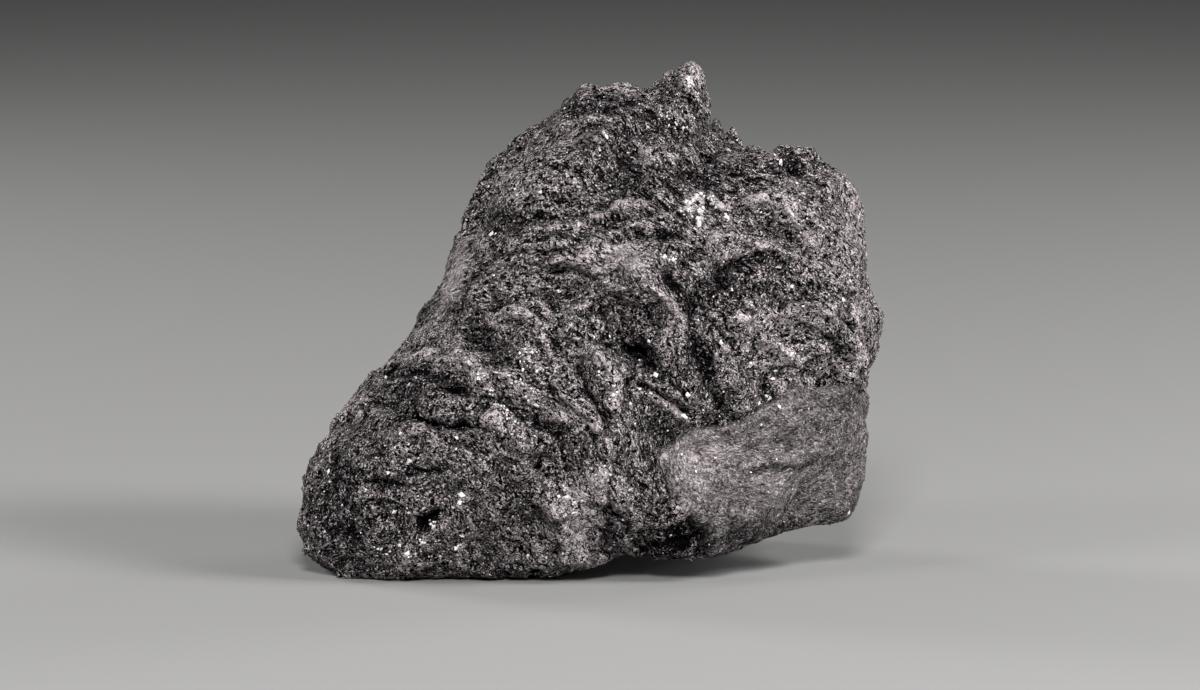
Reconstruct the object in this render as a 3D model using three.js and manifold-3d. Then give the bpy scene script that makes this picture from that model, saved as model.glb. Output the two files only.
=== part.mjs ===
// A stone meteorite: one charcoal-grey fragment with a rounded lobe low on its left, a broken
// front of ledges, folds and hollows, a smoother fracture face low on its right, and a blunt horn
// on its crown. It rests on a flattened foot. Millimetres, +Z up, the broken front looks along -Y.
//
// The form is worked out along rays from a centre inside the stone. A convex body of flat breaks
// is joined to a lens whose edge is the stone's outline as seen square to its front. Chips, coarse
// roughness and the knobs are then added along each ray, and the ledges and hollows of the front
// and the back are raised and sunk square to the outline.
import * as THREE from 'three';
import { mergeVertices } from 'three/addons/utils/BufferGeometryUtils.js';
import Module from 'manifold-3d';

// ---- Driving dimensions, millimetres ------------------------------------------------------
// u runs right and v up across the front, from the left tip and the front edge of the foot.
const CENTRE_U = 32;
const CENTRE_V = 24;
const FRONT_LEAN = THREE.MathUtils.degToRad(8);   // the outline's plane leans back from upright
const FOOT_EDGE_Y = -12;                          // the front edge of the foot
const MESH_DETAIL = 21;                           // icosahedron edges are split in 22
const BREAK_SHARPNESS = 14;                       // how crisply the flat breaks meet
const LENS_ROUNDNESS = 2.2;                       // 2 is an ellipse, higher is squarer
const LENS_BLEND = 2;                             // width of the soft join of body and lens
const RELIEF_START = 5;                           // relief grows over this depth behind the outline
const FINEST_STROKE = 1.35;                       // narrower ridges are widened to this
const VIEW_DISTANCE = 600;                        // the front's places are laid out as seen from here
const VIEW_U = 30.3;
const VIEW_V = 23.2;
const FRONT_DENSITY = 0.25;                       // how far the mesh is drawn to the front
const CHIP_COUNT = 90;
const GOLDEN_ANGLE = Math.PI * (3 - Math.sqrt(5));

// The outline: u, v, depth of the rim (positive is away from the front), half the rim's thickness.
const OUTLINE = [
  [0.6, 4.9, -3, 12], [0.9, 8.5, -3, 12], [1.3, 11.0, -2, 12], [2.8, 13.6, -2, 12],
  [4.3, 16.8, -1, 11], [6.1, 18.8, -1, 11], [7.3, 21.0, 0, 10], [8.8, 21.5, 0, 10],
  [10.2, 22.5, 0, 10], [11.5, 24.8, 0, 11], [12.3, 27.3, 0, 12], [13.3, 29.4, 0, 12],
  [14.5, 31.6, 1, 12], [15.3, 33.4, 1, 12], [16.4, 37.4, 2, 11], [17.8, 41.0, 2, 9],
  [18.5, 43.0, 2, 9], [21.2, 44.7, 2, 9], [24.0, 45.8, 2, 9], [26.2, 47.3, 1, 9],
  [28.0, 49.1, 0, 8], [28.8, 49.8, 0, 8], [30.4, 49.6, 0, 9], [33.5, 49.4, 1, 9],
  [35.0, 49.0, 1, 9], [36.5, 50.0, 2, 9], [38.0, 51.0, 2, 9], [39.7, 51.8, 2, 9],
  [41.4, 50.9, 2, 9], [42.1, 49.3, 2, 9], [41.5, 47.6, 2, 9], [41.1, 46.2, 2, 9],
  [41.7, 45.0, 3, 9], [42.6, 44.4, 3, 9], [43.6, 45.6, 3, 9], [44.4, 44.4, 3, 9],
  [45.3, 42.7, 4, 9], [47.2, 42.8, 4, 10], [49.3, 44.8, 4, 10], [52.8, 44.7, 4, 10],
  [54.5, 41.9, 5, 11], [56.2, 38.4, 5, 12], [56.9, 34.9, 6, 12], [56.9, 30.6, 6, 12],
  [57.6, 28.2, 6, 10], [58.6, 25.6, 6, 10], [58.2, 22.8, 6, 10], [57.2, 20.5, 6, 12],
  [57.3, 16.0, 3, 13], [57.5, 13.3, 1, 13], [56.4, 9.5, -1, 12], [56.3, 7.3, -3, 10],
  [54.8, 5.9, -4, 9], [50.0, 4.7, -6, 8], [45.0, 3.3, -8, 8], [40.0, 2.4, -9, 8],
  [36.0, 2.6, -9, 8], [31.0, 1.7, -9, 8], [27.0, 0.5, -9, 9], [20.0, 0.0, -8, 10],
  [10.0, 0.0, -8, 10], [5.2, 0.1, -6, 10], [3.8, 1.1, -5, 11], [1.4, 2.8, -4, 12],
];

// The body's own coarser outline, just inside: u, v.
const BODY_OUTLINE = [
  [0.6, 6.0], [5.2, 17.5], [9.6, 21.6], [17.6, 38.0], [24.5, 45.0], [31.0, 47.6],
  [37.5, 47.2], [41.5, 43.5], [45.5, 42.0], [52.0, 42.0], [56.0, 37.0], [56.4, 22.0],
  [56.5, 10.0], [53.0, 5.8], [44.0, 3.2], [30.0, 1.0], [22.0, -1.4], [6.0, -1.0],
];

// Flat breaks of the body: the way each faces (right, up, to the front), distance from the centre.
const BREAKS = [
  { name: 'central face', faces: [0.02, 0.30, 0.95], away: 15.0 },
  { name: 'lower right face', faces: [0.40, -0.10, 0.90], away: 16.0 },
  { name: 'left lobe', faces: [-0.38, 0.10, 0.92], away: 18.5 },
  { name: 'left flank', faces: [-0.80, 0.46, 0.38], away: 18.0 },
  { name: 'upper left block', faces: [-0.22, 0.55, 0.80], away: 17.5 },
  { name: 'upper right block', faces: [0.35, 0.52, 0.78], away: 17.0 },
  { name: 'lobe underside', faces: [-0.15, -0.62, 0.77], away: 23.5 },
  { name: 'right underside', faces: [0.15, -0.98, 0.05], away: 23.5 },
  { name: 'back', faces: [0.10, 0.12, -0.98], away: 18.0 },
  { name: 'back left', faces: [-0.62, 0.15, -0.76], away: 19.0 },
  { name: 'back right', faces: [0.66, 0.10, -0.74], away: 19.0 },
  { name: 'back top', faces: [-0.05, 0.72, -0.68], away: 19.5 },
  { name: 'back top left', faces: [-0.55, 0.62, -0.55], away: 19.0 },
  { name: 'back foot', faces: [-0.10, -0.62, -0.78], away: 23.0 },
];

// Knobs that stand out along a ray: u, v, depth behind the centre, width, height.
const KNOBS = [
  { name: 'back foot', at: [43.5, 3, 9.5], width: 5.0, height: 3.0 },
  { name: 'back crown', at: [30, 44, 14], width: 3.0, height: 1.5 },
  { name: 'back shoulder', at: [52, 38, 14], width: 4.0, height: 1.5 },
];

// Nubs that stand up off the crown: u, how far behind the outline's plane, width, height.
const NUBS = [
  { name: 'back of the crown', at: [42.3, 7.5], width: 3.5, height: 2.0 },
  { name: 'nub behind the horn', at: [41.9, 6.0], width: 1.4, height: 4.1 },
  { name: 'tooth beside it', at: [43.6, 3.0], width: 1.0, height: 1.3 },
];
const NUB_FOOT = [34, 38];                        // they rise only above this band of v

// Swellings and hollows: u, v, half width, half height, turn in degrees, height.
const FRONT_LUMPS = [
  { name: 'lobe', shape: [10, 9.5, 8, 7, 0, 1.8] },
  { name: 'lobe shoulder', shape: [13, 18.5, 4, 2.2, -15, 0.9] },
  { name: 'bottom bulge', shape: [25, 6, 4.5, 4.5, 0, 1.2] },
  { name: 'hollow above the lobe', shape: [18.2, 23.8, 2.4, 1.8, -40, -1.6] },
  { name: 'left bulge', shape: [22.8, 23.6, 2.3, 3.2, 0, 1.5] },
  { name: 'central swelling', shape: [32.2, 31.0, 3.7, 2.2, -8, 2.2] },
  { name: 'pocket under it', shape: [32.6, 26.2, 3.0, 2.2, 0, -1.1] },
  { name: 'deep hole', shape: [33.6, 22.7, 2.0, 1.3, -22, -2.8] },
  { name: 'inside the nose arch', shape: [35.8, 26.2, 0.9, 1.1, 20, -0.9] },
  { name: 'cheek', shape: [37.5, 22.2, 1.8, 1.9, 0, 1.2] },
  { name: 'right hollow', shape: [41.6, 28.6, 1.9, 1.5, 20, -1.5] },
  { name: 'right mound', shape: [46.6, 28.9, 2.2, 1.8, 0, 1.2] },
  { name: 'right plane', shape: [47.5, 23.4, 3.6, 2.2, -15, 1.0] },
  { name: 'far right', shape: [52.0, 27.5, 3.0, 2.0, 0, 0.6] },
  { name: 'upper right block', shape: [51.0, 38.0, 4.5, 4.5, 0, 1.0] },
  { name: 'hollow under the shoulder', shape: [47.2, 35.0, 2.2, 1.3, -15, -1.2] },
  { name: 'mound left of it', shape: [42.0, 34.0, 2.4, 1.3, -10, 0.8] },
  { name: 'upper left block', shape: [22.3, 39.8, 3.2, 2.4, 10, 1.0] },
  { name: 'low band under it', shape: [22.0, 35.6, 3.6, 1.0, 0, -0.7] },
  { name: 'hollow of the crown', shape: [32.3, 41.6, 1.9, 2.6, 0, -1.5] },
  { name: 'plane of the crown', shape: [27.4, 43.8, 2.8, 1.6, 10, 0.8] },
  { name: 'pocket of the knob', shape: [28.3, 47.4, 1.4, 0.9, 10, -1.0] },
  { name: 'hollow of the knob', shape: [32.3, 47.5, 1.0, 0.8, -15, -0.9] },
  { name: 'core of the horn', shape: [39.0, 47.6, 0.9, 1.4, 10, -0.9] },
  { name: 'valley floor', shape: [26.6, 13.0, 2.0, 2.0, 0, -0.9] },
  { name: 'three-cornered hollow', shape: [35.8, 14.6, 1.4, 1.4, -30, -1.3] },
  { name: 'low band of the shoulder', shape: [44.0, 40.2, 4.2, 0.9, 0, -0.9] },
  { name: 'shoulder cavity', shape: [49.4, 40.7, 1.3, 1.1, -10, -1.0] },
  { name: 'lobe pit', shape: [13.4, 6.0, 1.1, 0.8, 20, -1.5] },
  { name: 'notch under the smooth face', shape: [38.3, 3.9, 1.1, 1.3, 10, -1.6] },
];
const BACK_LUMPS = [
  { name: 'back swelling', shape: [24, 18, 7, 6, 20, 2.0] },
  { name: 'back hollow', shape: [40, 27, 5, 6, 0, -2.2] },
  { name: 'back shoulder', shape: [47, 36, 5, 3, 0, 1.4] },
  { name: 'back heel', shape: [44, 8, 6, 4, 0, 1.4] },
  { name: 'back dent', shape: [30, 37, 4, 3, 20, -1.4] },
  { name: 'back scoop', shape: [15, 10, 4, 3, 0, -1.0] },
];

// Ridges and grooves along a run of points: height, width left of the run, width right of it.
const FRONT_STROKES = [
  { name: 'lobe ridge', form: [1.2, 0.9, 1.6],
    run: [[15, 23.2], [17.3, 20.9], [18.3, 19.1], [19.1, 17.4], [20.3, 16.0], [22.3, 14.4]] },
  { name: 'second ridge', form: [0.8, 0.6, 1.0],
    run: [[19.0, 20.5], [20.6, 20.5], [22.4, 19.8], [24.0, 18.3], [25.2, 16.6], [26.6, 15.2]] },
  { name: 'left arc', form: [0.9, 0.5, 1.2],
    run: [[19.5, 26.3], [21.5, 27.0], [23.3, 26.2], [24.5, 25.0], [25.1, 23.6]] },
  { name: 'lobe crack', form: [-0.8, 0.3, 0.3],
    run: [[11.8, 16.2], [13.2, 15.5], [14.8, 15.2], [18.2, 15.3]] },
  { name: 'upper fold of the lobe', form: [0.8, 0.5, 0.9],
    run: [[9.3, 21.7], [11.8, 22.1], [14.3, 21.7], [16.0, 20.4]] },
  { name: 'lobe shelf', form: [-0.8, 0.3, 0.7], run: [[3.8, 10.0], [6.5, 9.9], [9.0, 9.6], [10.4, 9.3]] },
  { name: 'nose arch', form: [1.3, 0.5, 0.8],
    run: [[35.0, 28.9], [36.3, 28.3], [37.6, 27.3], [38.4, 25.9], [38.7, 24.2], [39.4, 22.2]] },
  { name: 'crease over the nose', form: [-1.1, 0.5, 0.4],
    run: [[36.2, 29.9], [37.6, 29.4], [38.5, 28.1], [39.3, 26.3]] },
  { name: 'nose valley', form: [-1.0, 1.0, 0.8],
    run: [[39.3, 26.3], [39.8, 24.2], [40.4, 22.2], [41.2, 20.2], [41.8, 18.2], [42.8, 16.4]] },
  { name: 'long ridge', form: [1.5, 0.9, 0.9],
    run: [[26.6, 24.6], [28.5, 23.5], [30.4, 21.8], [31.7, 20.0], [32.2, 18.0], [31.7, 15.6], [31.2, 12.6],
      [30.4, 9.6]] },
  { name: 'side groove', form: [-1.0, 0.6, 0.5],
    run: [[28.2, 21.0], [28.9, 19.0], [29.8, 17.0], [30.4, 15.4], [30.2, 13.4]] },
  { name: 'bulge lip', form: [0.9, 1.0, 0.35],
    run: [[25.2, 31.3], [27.0, 31.9], [28.6, 31.5], [29.6, 30.8]] },
  { name: 'bulge top lip', form: [0.8, 0.5, 0.7],
    run: [[28.4, 32.3], [30.4, 33.2], [33.0, 33.3], [35.2, 32.5]] },
  { name: 'under the lip', form: [-0.7, 0.3, 0.7], run: [[25.6, 30.6], [27.4, 30.8], [29.2, 30.2]] },
  { name: 'long ledge', form: [1.1, 0.45, 0.9],
    run: [[23.6, 34.9], [26.8, 35.1], [29.3, 35.9], [31.5, 36.9], [34.2, 37.4], [36.6, 36.8]] },
  { name: 'lower ledge', form: [0.7, 0.9, 0.35],
    run: [[18.0, 33.0], [21.0, 32.7], [24.0, 32.9], [27.0, 33.4]] },
  { name: 'crest right of the hollow', form: [0.9, 0.8, 0.35],
    run: [[43.8, 33.9], [45.4, 33.5], [47.0, 33.2], [48.4, 32.6], [49.6, 31.9]] },
  { name: 'crevice', form: [-1.3, 0.5, 0.7],
    run: [[42.6, 31.0], [44.4, 31.6], [46.0, 32.2], [48.0, 31.9], [50.0, 31.4]] },
  { name: 'shoulder', form: [1.3, 0.9, 0.9],
    run: [[44.3, 37.3], [46.0, 38.0], [48.0, 37.7], [49.4, 36.6], [50.2, 35.2], [51.2, 33.6]] },
  { name: 'right crest', form: [1.0, 0.6, 0.9],
    run: [[43.8, 25.7], [46.0, 26.4], [48.6, 26.7], [51.8, 27.0], [53.6, 26.4]] },
  { name: 'under the right plane', form: [-0.8, 0.5, 0.5],
    run: [[44.6, 20.8], [47.6, 20.0], [50.4, 19.9], [54.2, 20.0]] },
  { name: 'right valley', form: [-0.8, 0.4, 0.5],
    run: [[51.6, 24.9], [53.4, 24.0], [54.2, 22.8], [55.2, 21.2]] },
  { name: 'smooth face step', form: [-1.2, 2.0, 0.3],
    run: [[35.6, 11.4], [36.4, 13.0], [38.2, 14.6], [39.8, 15.0], [42.4, 15.2], [44.0, 16.0], [45.6, 17.0],
      [47.2, 17.3], [48.4, 18.4], [50.2, 19.2], [53.2, 19.3], [56.8, 18.8]] },
  { name: 'bottom crease', form: [-1.0, 0.7, 0.35],
    run: [[31.0, 9.6], [30.8, 6.5], [30.6, 3.4], [31.0, 1.4]] },
  { name: 'foot step', form: [-1.4, 0.25, 1.3], run: [[26.2, 4.6], [26.1, 2.5], [25.6, 0]] },
  { name: 'edge of the notch', form: [-1.1, 0.3, 0.6], run: [[40.3, 2.4], [39.9, 4.2], [39.2, 5.8]] },
  { name: 'flank edge', form: [-0.8, 0.3, 0.9],
    run: [[17.9, 35.0], [17.4, 33.4], [16.9, 31.4], [16.9, 29.4], [16.4, 27.0]] },
];
const BACK_STROKES = [
  { name: 'back ridge', form: [1.6, 2.2, 1.0], run: [[10, 14], [18, 22], [27, 27], [33, 36], [36, 44]] },
  { name: 'back ledge', form: [1.3, 0.6, 2.5], run: [[34, 16], [41, 18], [48, 16], [54, 18]] },
  { name: 'back groove', form: [-1.3, 0.7, 1.0], run: [[20, 30], [27, 33], [36, 33], [44, 37]] },
  { name: 'back crack', form: [-1.0, 0.4, 0.5], run: [[28, 4], [31, 12], [37, 17], [45, 27]] },
];

// ---- The leaning frame of the outline -----------------------------------------------------
const ACROSS = new THREE.Vector3(1, 0, 0);
const UPWARD = new THREE.Vector3(0, Math.sin(FRONT_LEAN), Math.cos(FRONT_LEAN));
const INWARD = new THREE.Vector3(0, Math.cos(FRONT_LEAN), -Math.sin(FRONT_LEAN));
const CENTRE_Z = (CENTRE_V + FOOT_EDGE_Y * Math.sin(FRONT_LEAN)) / Math.cos(FRONT_LEAN);
const CENTRE = new THREE.Vector3(CENTRE_U, 0, CENTRE_Z);

const leaning = (across, upward, inward) => new THREE.Vector3()
  .addScaledVector(ACROSS, across)
  .addScaledVector(UPWARD, upward)
  .addScaledVector(INWARD, inward);

// ---- Numbers ------------------------------------------------------------------------------
const smoothstep = (low, high, x) => THREE.MathUtils.smoothstep(x, low, high);
const mix = THREE.MathUtils.lerp;

// A number from 0 to 1 that jumps from one lattice point to the next.
function scatter(i, j, k, seed) {
  const n = Math.sin(i * 12.9898 + j * 78.233 + k * 37.719 + seed * 9.131) * 43758.5453;
  return n - Math.floor(n);
}

// Smooth roughness from -1 to 1: the lattice numbers around a point, eased from one to the next.
function roughness(point, size, seed) {
  const cell = [point.x, point.y, point.z].map((q) => Math.floor(q / size));
  const ease = [point.x, point.y, point.z].map((q, axis) => {
    const f = q / size - cell[axis];
    return f * f * f * (f * (f * 6 - 15) + 10);
  });
  let sum = 0;
  for (let corner = 0; corner < 8; corner++) {
    const step = [corner & 1, (corner >> 1) & 1, corner >> 2];
    const share = step.reduce((s, on, axis) => s * (on ? ease[axis] : 1 - ease[axis]), 1);
    sum += share * scatter(cell[0] + step[0], cell[1] + step[1], cell[2] + step[2], seed);
  }
  return sum * 2 - 1;
}

// ---- The outline read by angle ------------------------------------------------------------
// Points of an outline about the centre, in order of angle, with the run closed at both ends.
function byAngle(points) {
  const around = points.map(([u, v, ...rest]) => ({
    u: u - CENTRE_U, v: v - CENTRE_V, angle: Math.atan2(v - CENTRE_V, u - CENTRE_U), rest,
  })).sort((p, q) => p.angle - q.angle);
  const first = around[0];
  const last = around[around.length - 1];
  return [{ ...last, angle: last.angle - 2 * Math.PI }, ...around, { ...first, angle: first.angle + 2 * Math.PI }];
}

// How far out the outline lies at an angle, and its own values blended there.
function outlineAt(ring, angle) {
  let i = 0;
  while (i < ring.length - 2 && ring[i + 1].angle < angle) i++;
  const p = ring[i];
  const q = ring[i + 1];
  const along = [Math.cos(angle), Math.sin(angle)];
  const radius = (p.u * q.v - p.v * q.u) / (along[0] * (q.v - p.v) - along[1] * (q.u - p.u));
  const share = (angle - p.angle) / (q.angle - p.angle);
  const eased = share * share * (3 - 2 * share);
  return { radius, values: p.rest.map((value, n) => mix(value, q.rest[n], eased)) };
}

const OUTLINE_RING = byAngle(OUTLINE);
const BODY_RING = byAngle(BODY_OUTLINE);
const BREAK_PLANES = BREAKS.map(({ faces: [right, up, front], away }) => ({
  normal: leaning(right, up, -front).normalize(), away,
}));

// ---- Body and lens ------------------------------------------------------------------------
// Where a ray leaves the plain form: its radius, and how far it is there in front of the rim.
function plainForm(ray) {
  const a = ray.dot(ACROSS);
  const b = ray.dot(UPWARD);
  const c = ray.dot(INWARD);
  const flat = Math.hypot(a, b) + 1e-9;
  const angle = Math.atan2(b, a);
  const { radius: reach, values: [rimDepth, rimThickness] } = outlineAt(OUTLINE_RING, angle);
  const behindRim = c - (rimDepth / reach) * flat;
  const lens = ((flat / reach) ** LENS_ROUNDNESS
    + Math.abs(behindRim / rimThickness) ** LENS_ROUNDNESS) ** (-1 / LENS_ROUNDNESS);
  let sum = (flat / outlineAt(BODY_RING, angle).radius) ** BREAK_SHARPNESS;
  for (const { normal, away } of BREAK_PLANES) {
    sum += (Math.max(ray.dot(normal), 0) / away) ** BREAK_SHARPNESS;
  }
  const body = sum ** (-1 / BREAK_SHARPNESS);
  const blend = Math.max(LENS_BLEND - Math.abs(body - lens), 0) ** 2 / (4 * LENS_BLEND);
  const radius = Math.max(body, lens) + blend;
  return { radius, ahead: -behindRim * radius };
}

const plainPoint = (ray) => ray.clone().multiplyScalar(plainForm(ray).radius);

// ---- Chips --------------------------------------------------------------------------------
// Chips lie on a spiral around the stone. Each has its place, the way it faces, depth and reach.
function chipAt(index) {
  const k = index + 0.5;
  const draw = (seed) => scatter(k, 0, 0, seed) * 2 - 1;
  const z = 1 - (2 * k) / CHIP_COUNT;
  const turn = k * GOLDEN_ANGLE + 0.5 * draw(1);
  const ring = Math.sqrt(1 - z * z);
  const ray = new THREE.Vector3(ring * Math.cos(turn), ring * Math.sin(turn), z).normalize();
  const side = ray.clone().cross(new THREE.Vector3(0.3, 0.5, 0.8)).normalize();
  const across = ray.clone().cross(side);
  const span = (way) => {
    const ahead = plainPoint(ray.clone().addScaledVector(way, 0.05).normalize());
    return ahead.sub(plainPoint(ray.clone().addScaledVector(way, -0.05).normalize()));
  };
  const normal = span(side).cross(span(across)).normalize();
  if (normal.dot(ray) < 0) normal.negate();
  normal.add(new THREE.Vector3(draw(2), draw(3), draw(4)).multiplyScalar(0.25)).normalize();
  const shallow = ray.dot(INWARD) < -0.15 ? 0.3 : 1;
  return { place: plainPoint(ray), normal, depth: (1.3 + 0.8 * draw(5)) * shallow, reach: 7 + 3 * draw(6) };
}

const CHIPS = Array.from({ length: CHIP_COUNT }, (_, index) => chipAt(index));

function chipped(point, hold) {
  for (const { place, normal, depth, reach } of CHIPS) {
    const away = point.clone().sub(place);
    const over = Math.max(away.dot(normal) + depth, 0);
    const near = 1 - smoothstep(0.75, 1.25, away.length() / reach);
    point.addScaledVector(normal, -over * near * hold);
  }
  return point;
}

// ---- Relief of the front and the back -----------------------------------------------------
function lumpsAt(lumps, u, v) {
  let height = 0;
  for (const { shape: [u0, v0, halfWidth, halfHeight, turn, rise] } of lumps) {
    const angle = THREE.MathUtils.degToRad(turn);
    const p = ((u - u0) * Math.cos(angle) + (v - v0) * Math.sin(angle)) / halfWidth;
    const q = (-(u - u0) * Math.sin(angle) + (v - v0) * Math.cos(angle)) / halfHeight;
    height += rise * Math.exp(-0.8 * (p * p + q * q));
  }
  return height;
}

function strokesAt(strokes, u, v) {
  let height = 0;
  for (const { form: [rise, leftWidth, rightWidth], run } of strokes) {
    let nearest = Infinity;
    let side = 0;
    for (let i = 0; i + 1 < run.length; i++) {
      const [u0, v0] = run[i];
      const du = run[i + 1][0] - u0;
      const dv = run[i + 1][1] - v0;
      const along = THREE.MathUtils.clamp(((u - u0) * du + (v - v0) * dv) / (du * du + dv * dv), 0, 1);
      const offU = u - u0 - along * du;
      const offV = v - v0 - along * dv;
      const distance = offU * offU + offV * offV;
      if (distance < nearest) {
        nearest = distance;
        side = du * offV - dv * offU;
      }
    }
    const width = Math.max(side > 0 ? leftWidth : rightWidth, FINEST_STROKE);
    height += rise * Math.exp(-nearest / (width * width));
  }
  return height;
}

// ---- The finished surface along one ray ---------------------------------------------------
function stonePoint(ray) {
  const { radius, ahead } = plainForm(ray);
  const hold = 0.3 + 0.7 * smoothstep(0, 3.5, Math.abs(ahead));
  const point = chipped(ray.clone().multiplyScalar(radius), hold);
  const bare = point.clone();
  const bendU = 0.3 * roughness(bare, 3.2, 11) + 0.3 * roughness(bare, 1.3, 14);
  const bendV = 0.3 * roughness(bare, 3.2, 12) + 0.3 * roughness(bare, 1.3, 15);
  const rough = roughness(bare, 7, 1) + 0.6 * roughness(bare, 3.6, 2) + 0.35 * roughness(bare, 1.9, 3);
  point.addScaledVector(ray, rough * hold);
  for (const { at: [u, v, depth], width, height } of KNOBS) {
    const towards = leaning(u - CENTRE_U, v - CENTRE_V, depth).normalize();
    const off = (ray.angleTo(towards) * radius) / width;
    point.addScaledVector(ray, height * Math.exp(-off * off));
  }
  const onTop = smoothstep(...NUB_FOOT, point.dot(UPWARD) + CENTRE_V);
  for (const { at: [u, depth], width, height } of NUBS) {
    const off = Math.hypot(point.dot(ACROSS) + CENTRE_U - u, point.dot(INWARD) - depth) / width;
    point.addScaledVector(UPWARD, height * onTop * Math.exp(-off * off));
  }
  const nearness = 1 + point.dot(INWARD) / VIEW_DISTANCE;
  const u = VIEW_U + (point.dot(ACROSS) + CENTRE_U - VIEW_U) / nearness + bendU;
  const v = VIEW_V + (point.dot(UPWARD) + CENTRE_V - VIEW_V) / nearness + bendV;
  const strength = 1 + 0.35 * roughness(bare, 2.6, 21);
  const front = (lumpsAt(FRONT_LUMPS, u, v) + strokesAt(FRONT_STROKES, u, v)) * strength;
  const back = (lumpsAt(BACK_LUMPS, u, v) + strokesAt(BACK_STROKES, u, v)) * strength;
  point.addScaledVector(INWARD, -front * smoothstep(0, RELIEF_START, ahead));
  point.addScaledVector(INWARD, back * smoothstep(0, RELIEF_START, -ahead));
  return point.add(CENTRE);
}

// ---- Solid --------------------------------------------------------------------------------
const wasm = await Module();
wasm.setup();

// A closed geometry as a solid that can be cut.
function asSolid(geometry) {
  const plain = geometry.clone();
  plain.deleteAttribute('normal');
  plain.deleteAttribute('uv');
  const merged = mergeVertices(plain);
  return new wasm.Manifold(new wasm.Mesh({
    numProp: 3,
    vertProperties: Float32Array.from(merged.attributes.position.array),
    triVerts: Uint32Array.from(merged.index.array),
  }));
}

function asGeometry(solid) {
  const { vertProperties, triVerts } = solid.getMesh();
  const geometry = new THREE.BufferGeometry();
  geometry.setAttribute('position', new THREE.BufferAttribute(vertProperties, 3));
  geometry.setIndex(new THREE.BufferAttribute(triVerts, 1));
  return geometry;
}

// The stone above its foot, with the middle of its box on the axis.
function stoneGeometry() {
  const ball = new THREE.IcosahedronGeometry(1, MESH_DETAIL);
  const rays = ball.attributes.position;
  for (let i = 0; i < rays.count; i++) {
    const ray = new THREE.Vector3().fromBufferAttribute(rays, i).normalize();
    const point = stonePoint(ray.addScaledVector(INWARD, -FRONT_DENSITY).normalize());
    rays.setXYZ(i, point.x, point.y, point.z);
  }
  const groundSize = 200;
  const ground = new THREE.BoxGeometry(groundSize, groundSize, groundSize);
  ground.translate(0, 0, -groundSize / 2);
  const stone = asGeometry(asSolid(ball).subtract(asSolid(ground)));
  stone.computeBoundingBox();
  const middle = stone.boundingBox.getCenter(new THREE.Vector3());
  stone.translate(-middle.x, -middle.y, -stone.boundingBox.min.z);
  stone.computeVertexNormals();
  return stone;
}

const charcoal = new THREE.MeshStandardMaterial({ color: 0x575150, roughness: 0.9, metalness: 0 });
const meteorite = new THREE.Mesh(stoneGeometry(), charcoal);
meteorite.name = 'meteorite';

const part = new THREE.Group();
part.add(meteorite);

export default part;
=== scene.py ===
import math

import bpy
import numpy as np
from mathutils import Matrix, Vector


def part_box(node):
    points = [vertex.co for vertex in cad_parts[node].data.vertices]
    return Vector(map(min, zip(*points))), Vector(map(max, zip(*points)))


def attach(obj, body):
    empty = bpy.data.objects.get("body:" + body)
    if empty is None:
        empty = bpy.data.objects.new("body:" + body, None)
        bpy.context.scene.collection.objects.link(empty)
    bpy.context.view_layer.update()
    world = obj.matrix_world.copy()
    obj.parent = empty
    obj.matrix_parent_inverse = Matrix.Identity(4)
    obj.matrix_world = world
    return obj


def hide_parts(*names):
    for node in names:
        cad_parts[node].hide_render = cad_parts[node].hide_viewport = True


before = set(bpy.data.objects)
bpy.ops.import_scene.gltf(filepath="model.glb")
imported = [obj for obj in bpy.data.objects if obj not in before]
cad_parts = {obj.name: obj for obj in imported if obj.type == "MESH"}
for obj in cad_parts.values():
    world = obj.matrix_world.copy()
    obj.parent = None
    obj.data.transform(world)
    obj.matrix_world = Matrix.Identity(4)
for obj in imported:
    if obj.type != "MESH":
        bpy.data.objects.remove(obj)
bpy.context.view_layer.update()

MM = 0.001

# ---------------------------------------------------------------- the stone's plan
# The stone is drawn on an upright plan that leans back a little: u to the right, v up,
# away = behind the plan. All tables are in millimetres on that plan.
FRONT_LEAN = math.radians(8)
RIGHT = np.array([1.0, 0.0, 0.0])
UP = np.array([0.0, math.sin(FRONT_LEAN), math.cos(FRONT_LEAN)])
AWAY = np.array([0.0, math.cos(FRONT_LEAN), -math.sin(FRONT_LEAN)])
CENTRE_U = 32.0
CENTRE_V = 24.0
FOOT_EDGE_Y = -12.0
CENTRE_Z = (CENTRE_V + FOOT_EDGE_Y * math.sin(FRONT_LEAN)) / math.cos(FRONT_LEAN)
CENTRE = np.array([CENTRE_U, 0.0, CENTRE_Z])
# the tables' places are as seen from this far in front of this place of the plan
SIGHT_DISTANCE = 600.0
SIGHT_U = 30.3
SIGHT_V = 23.2

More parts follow.
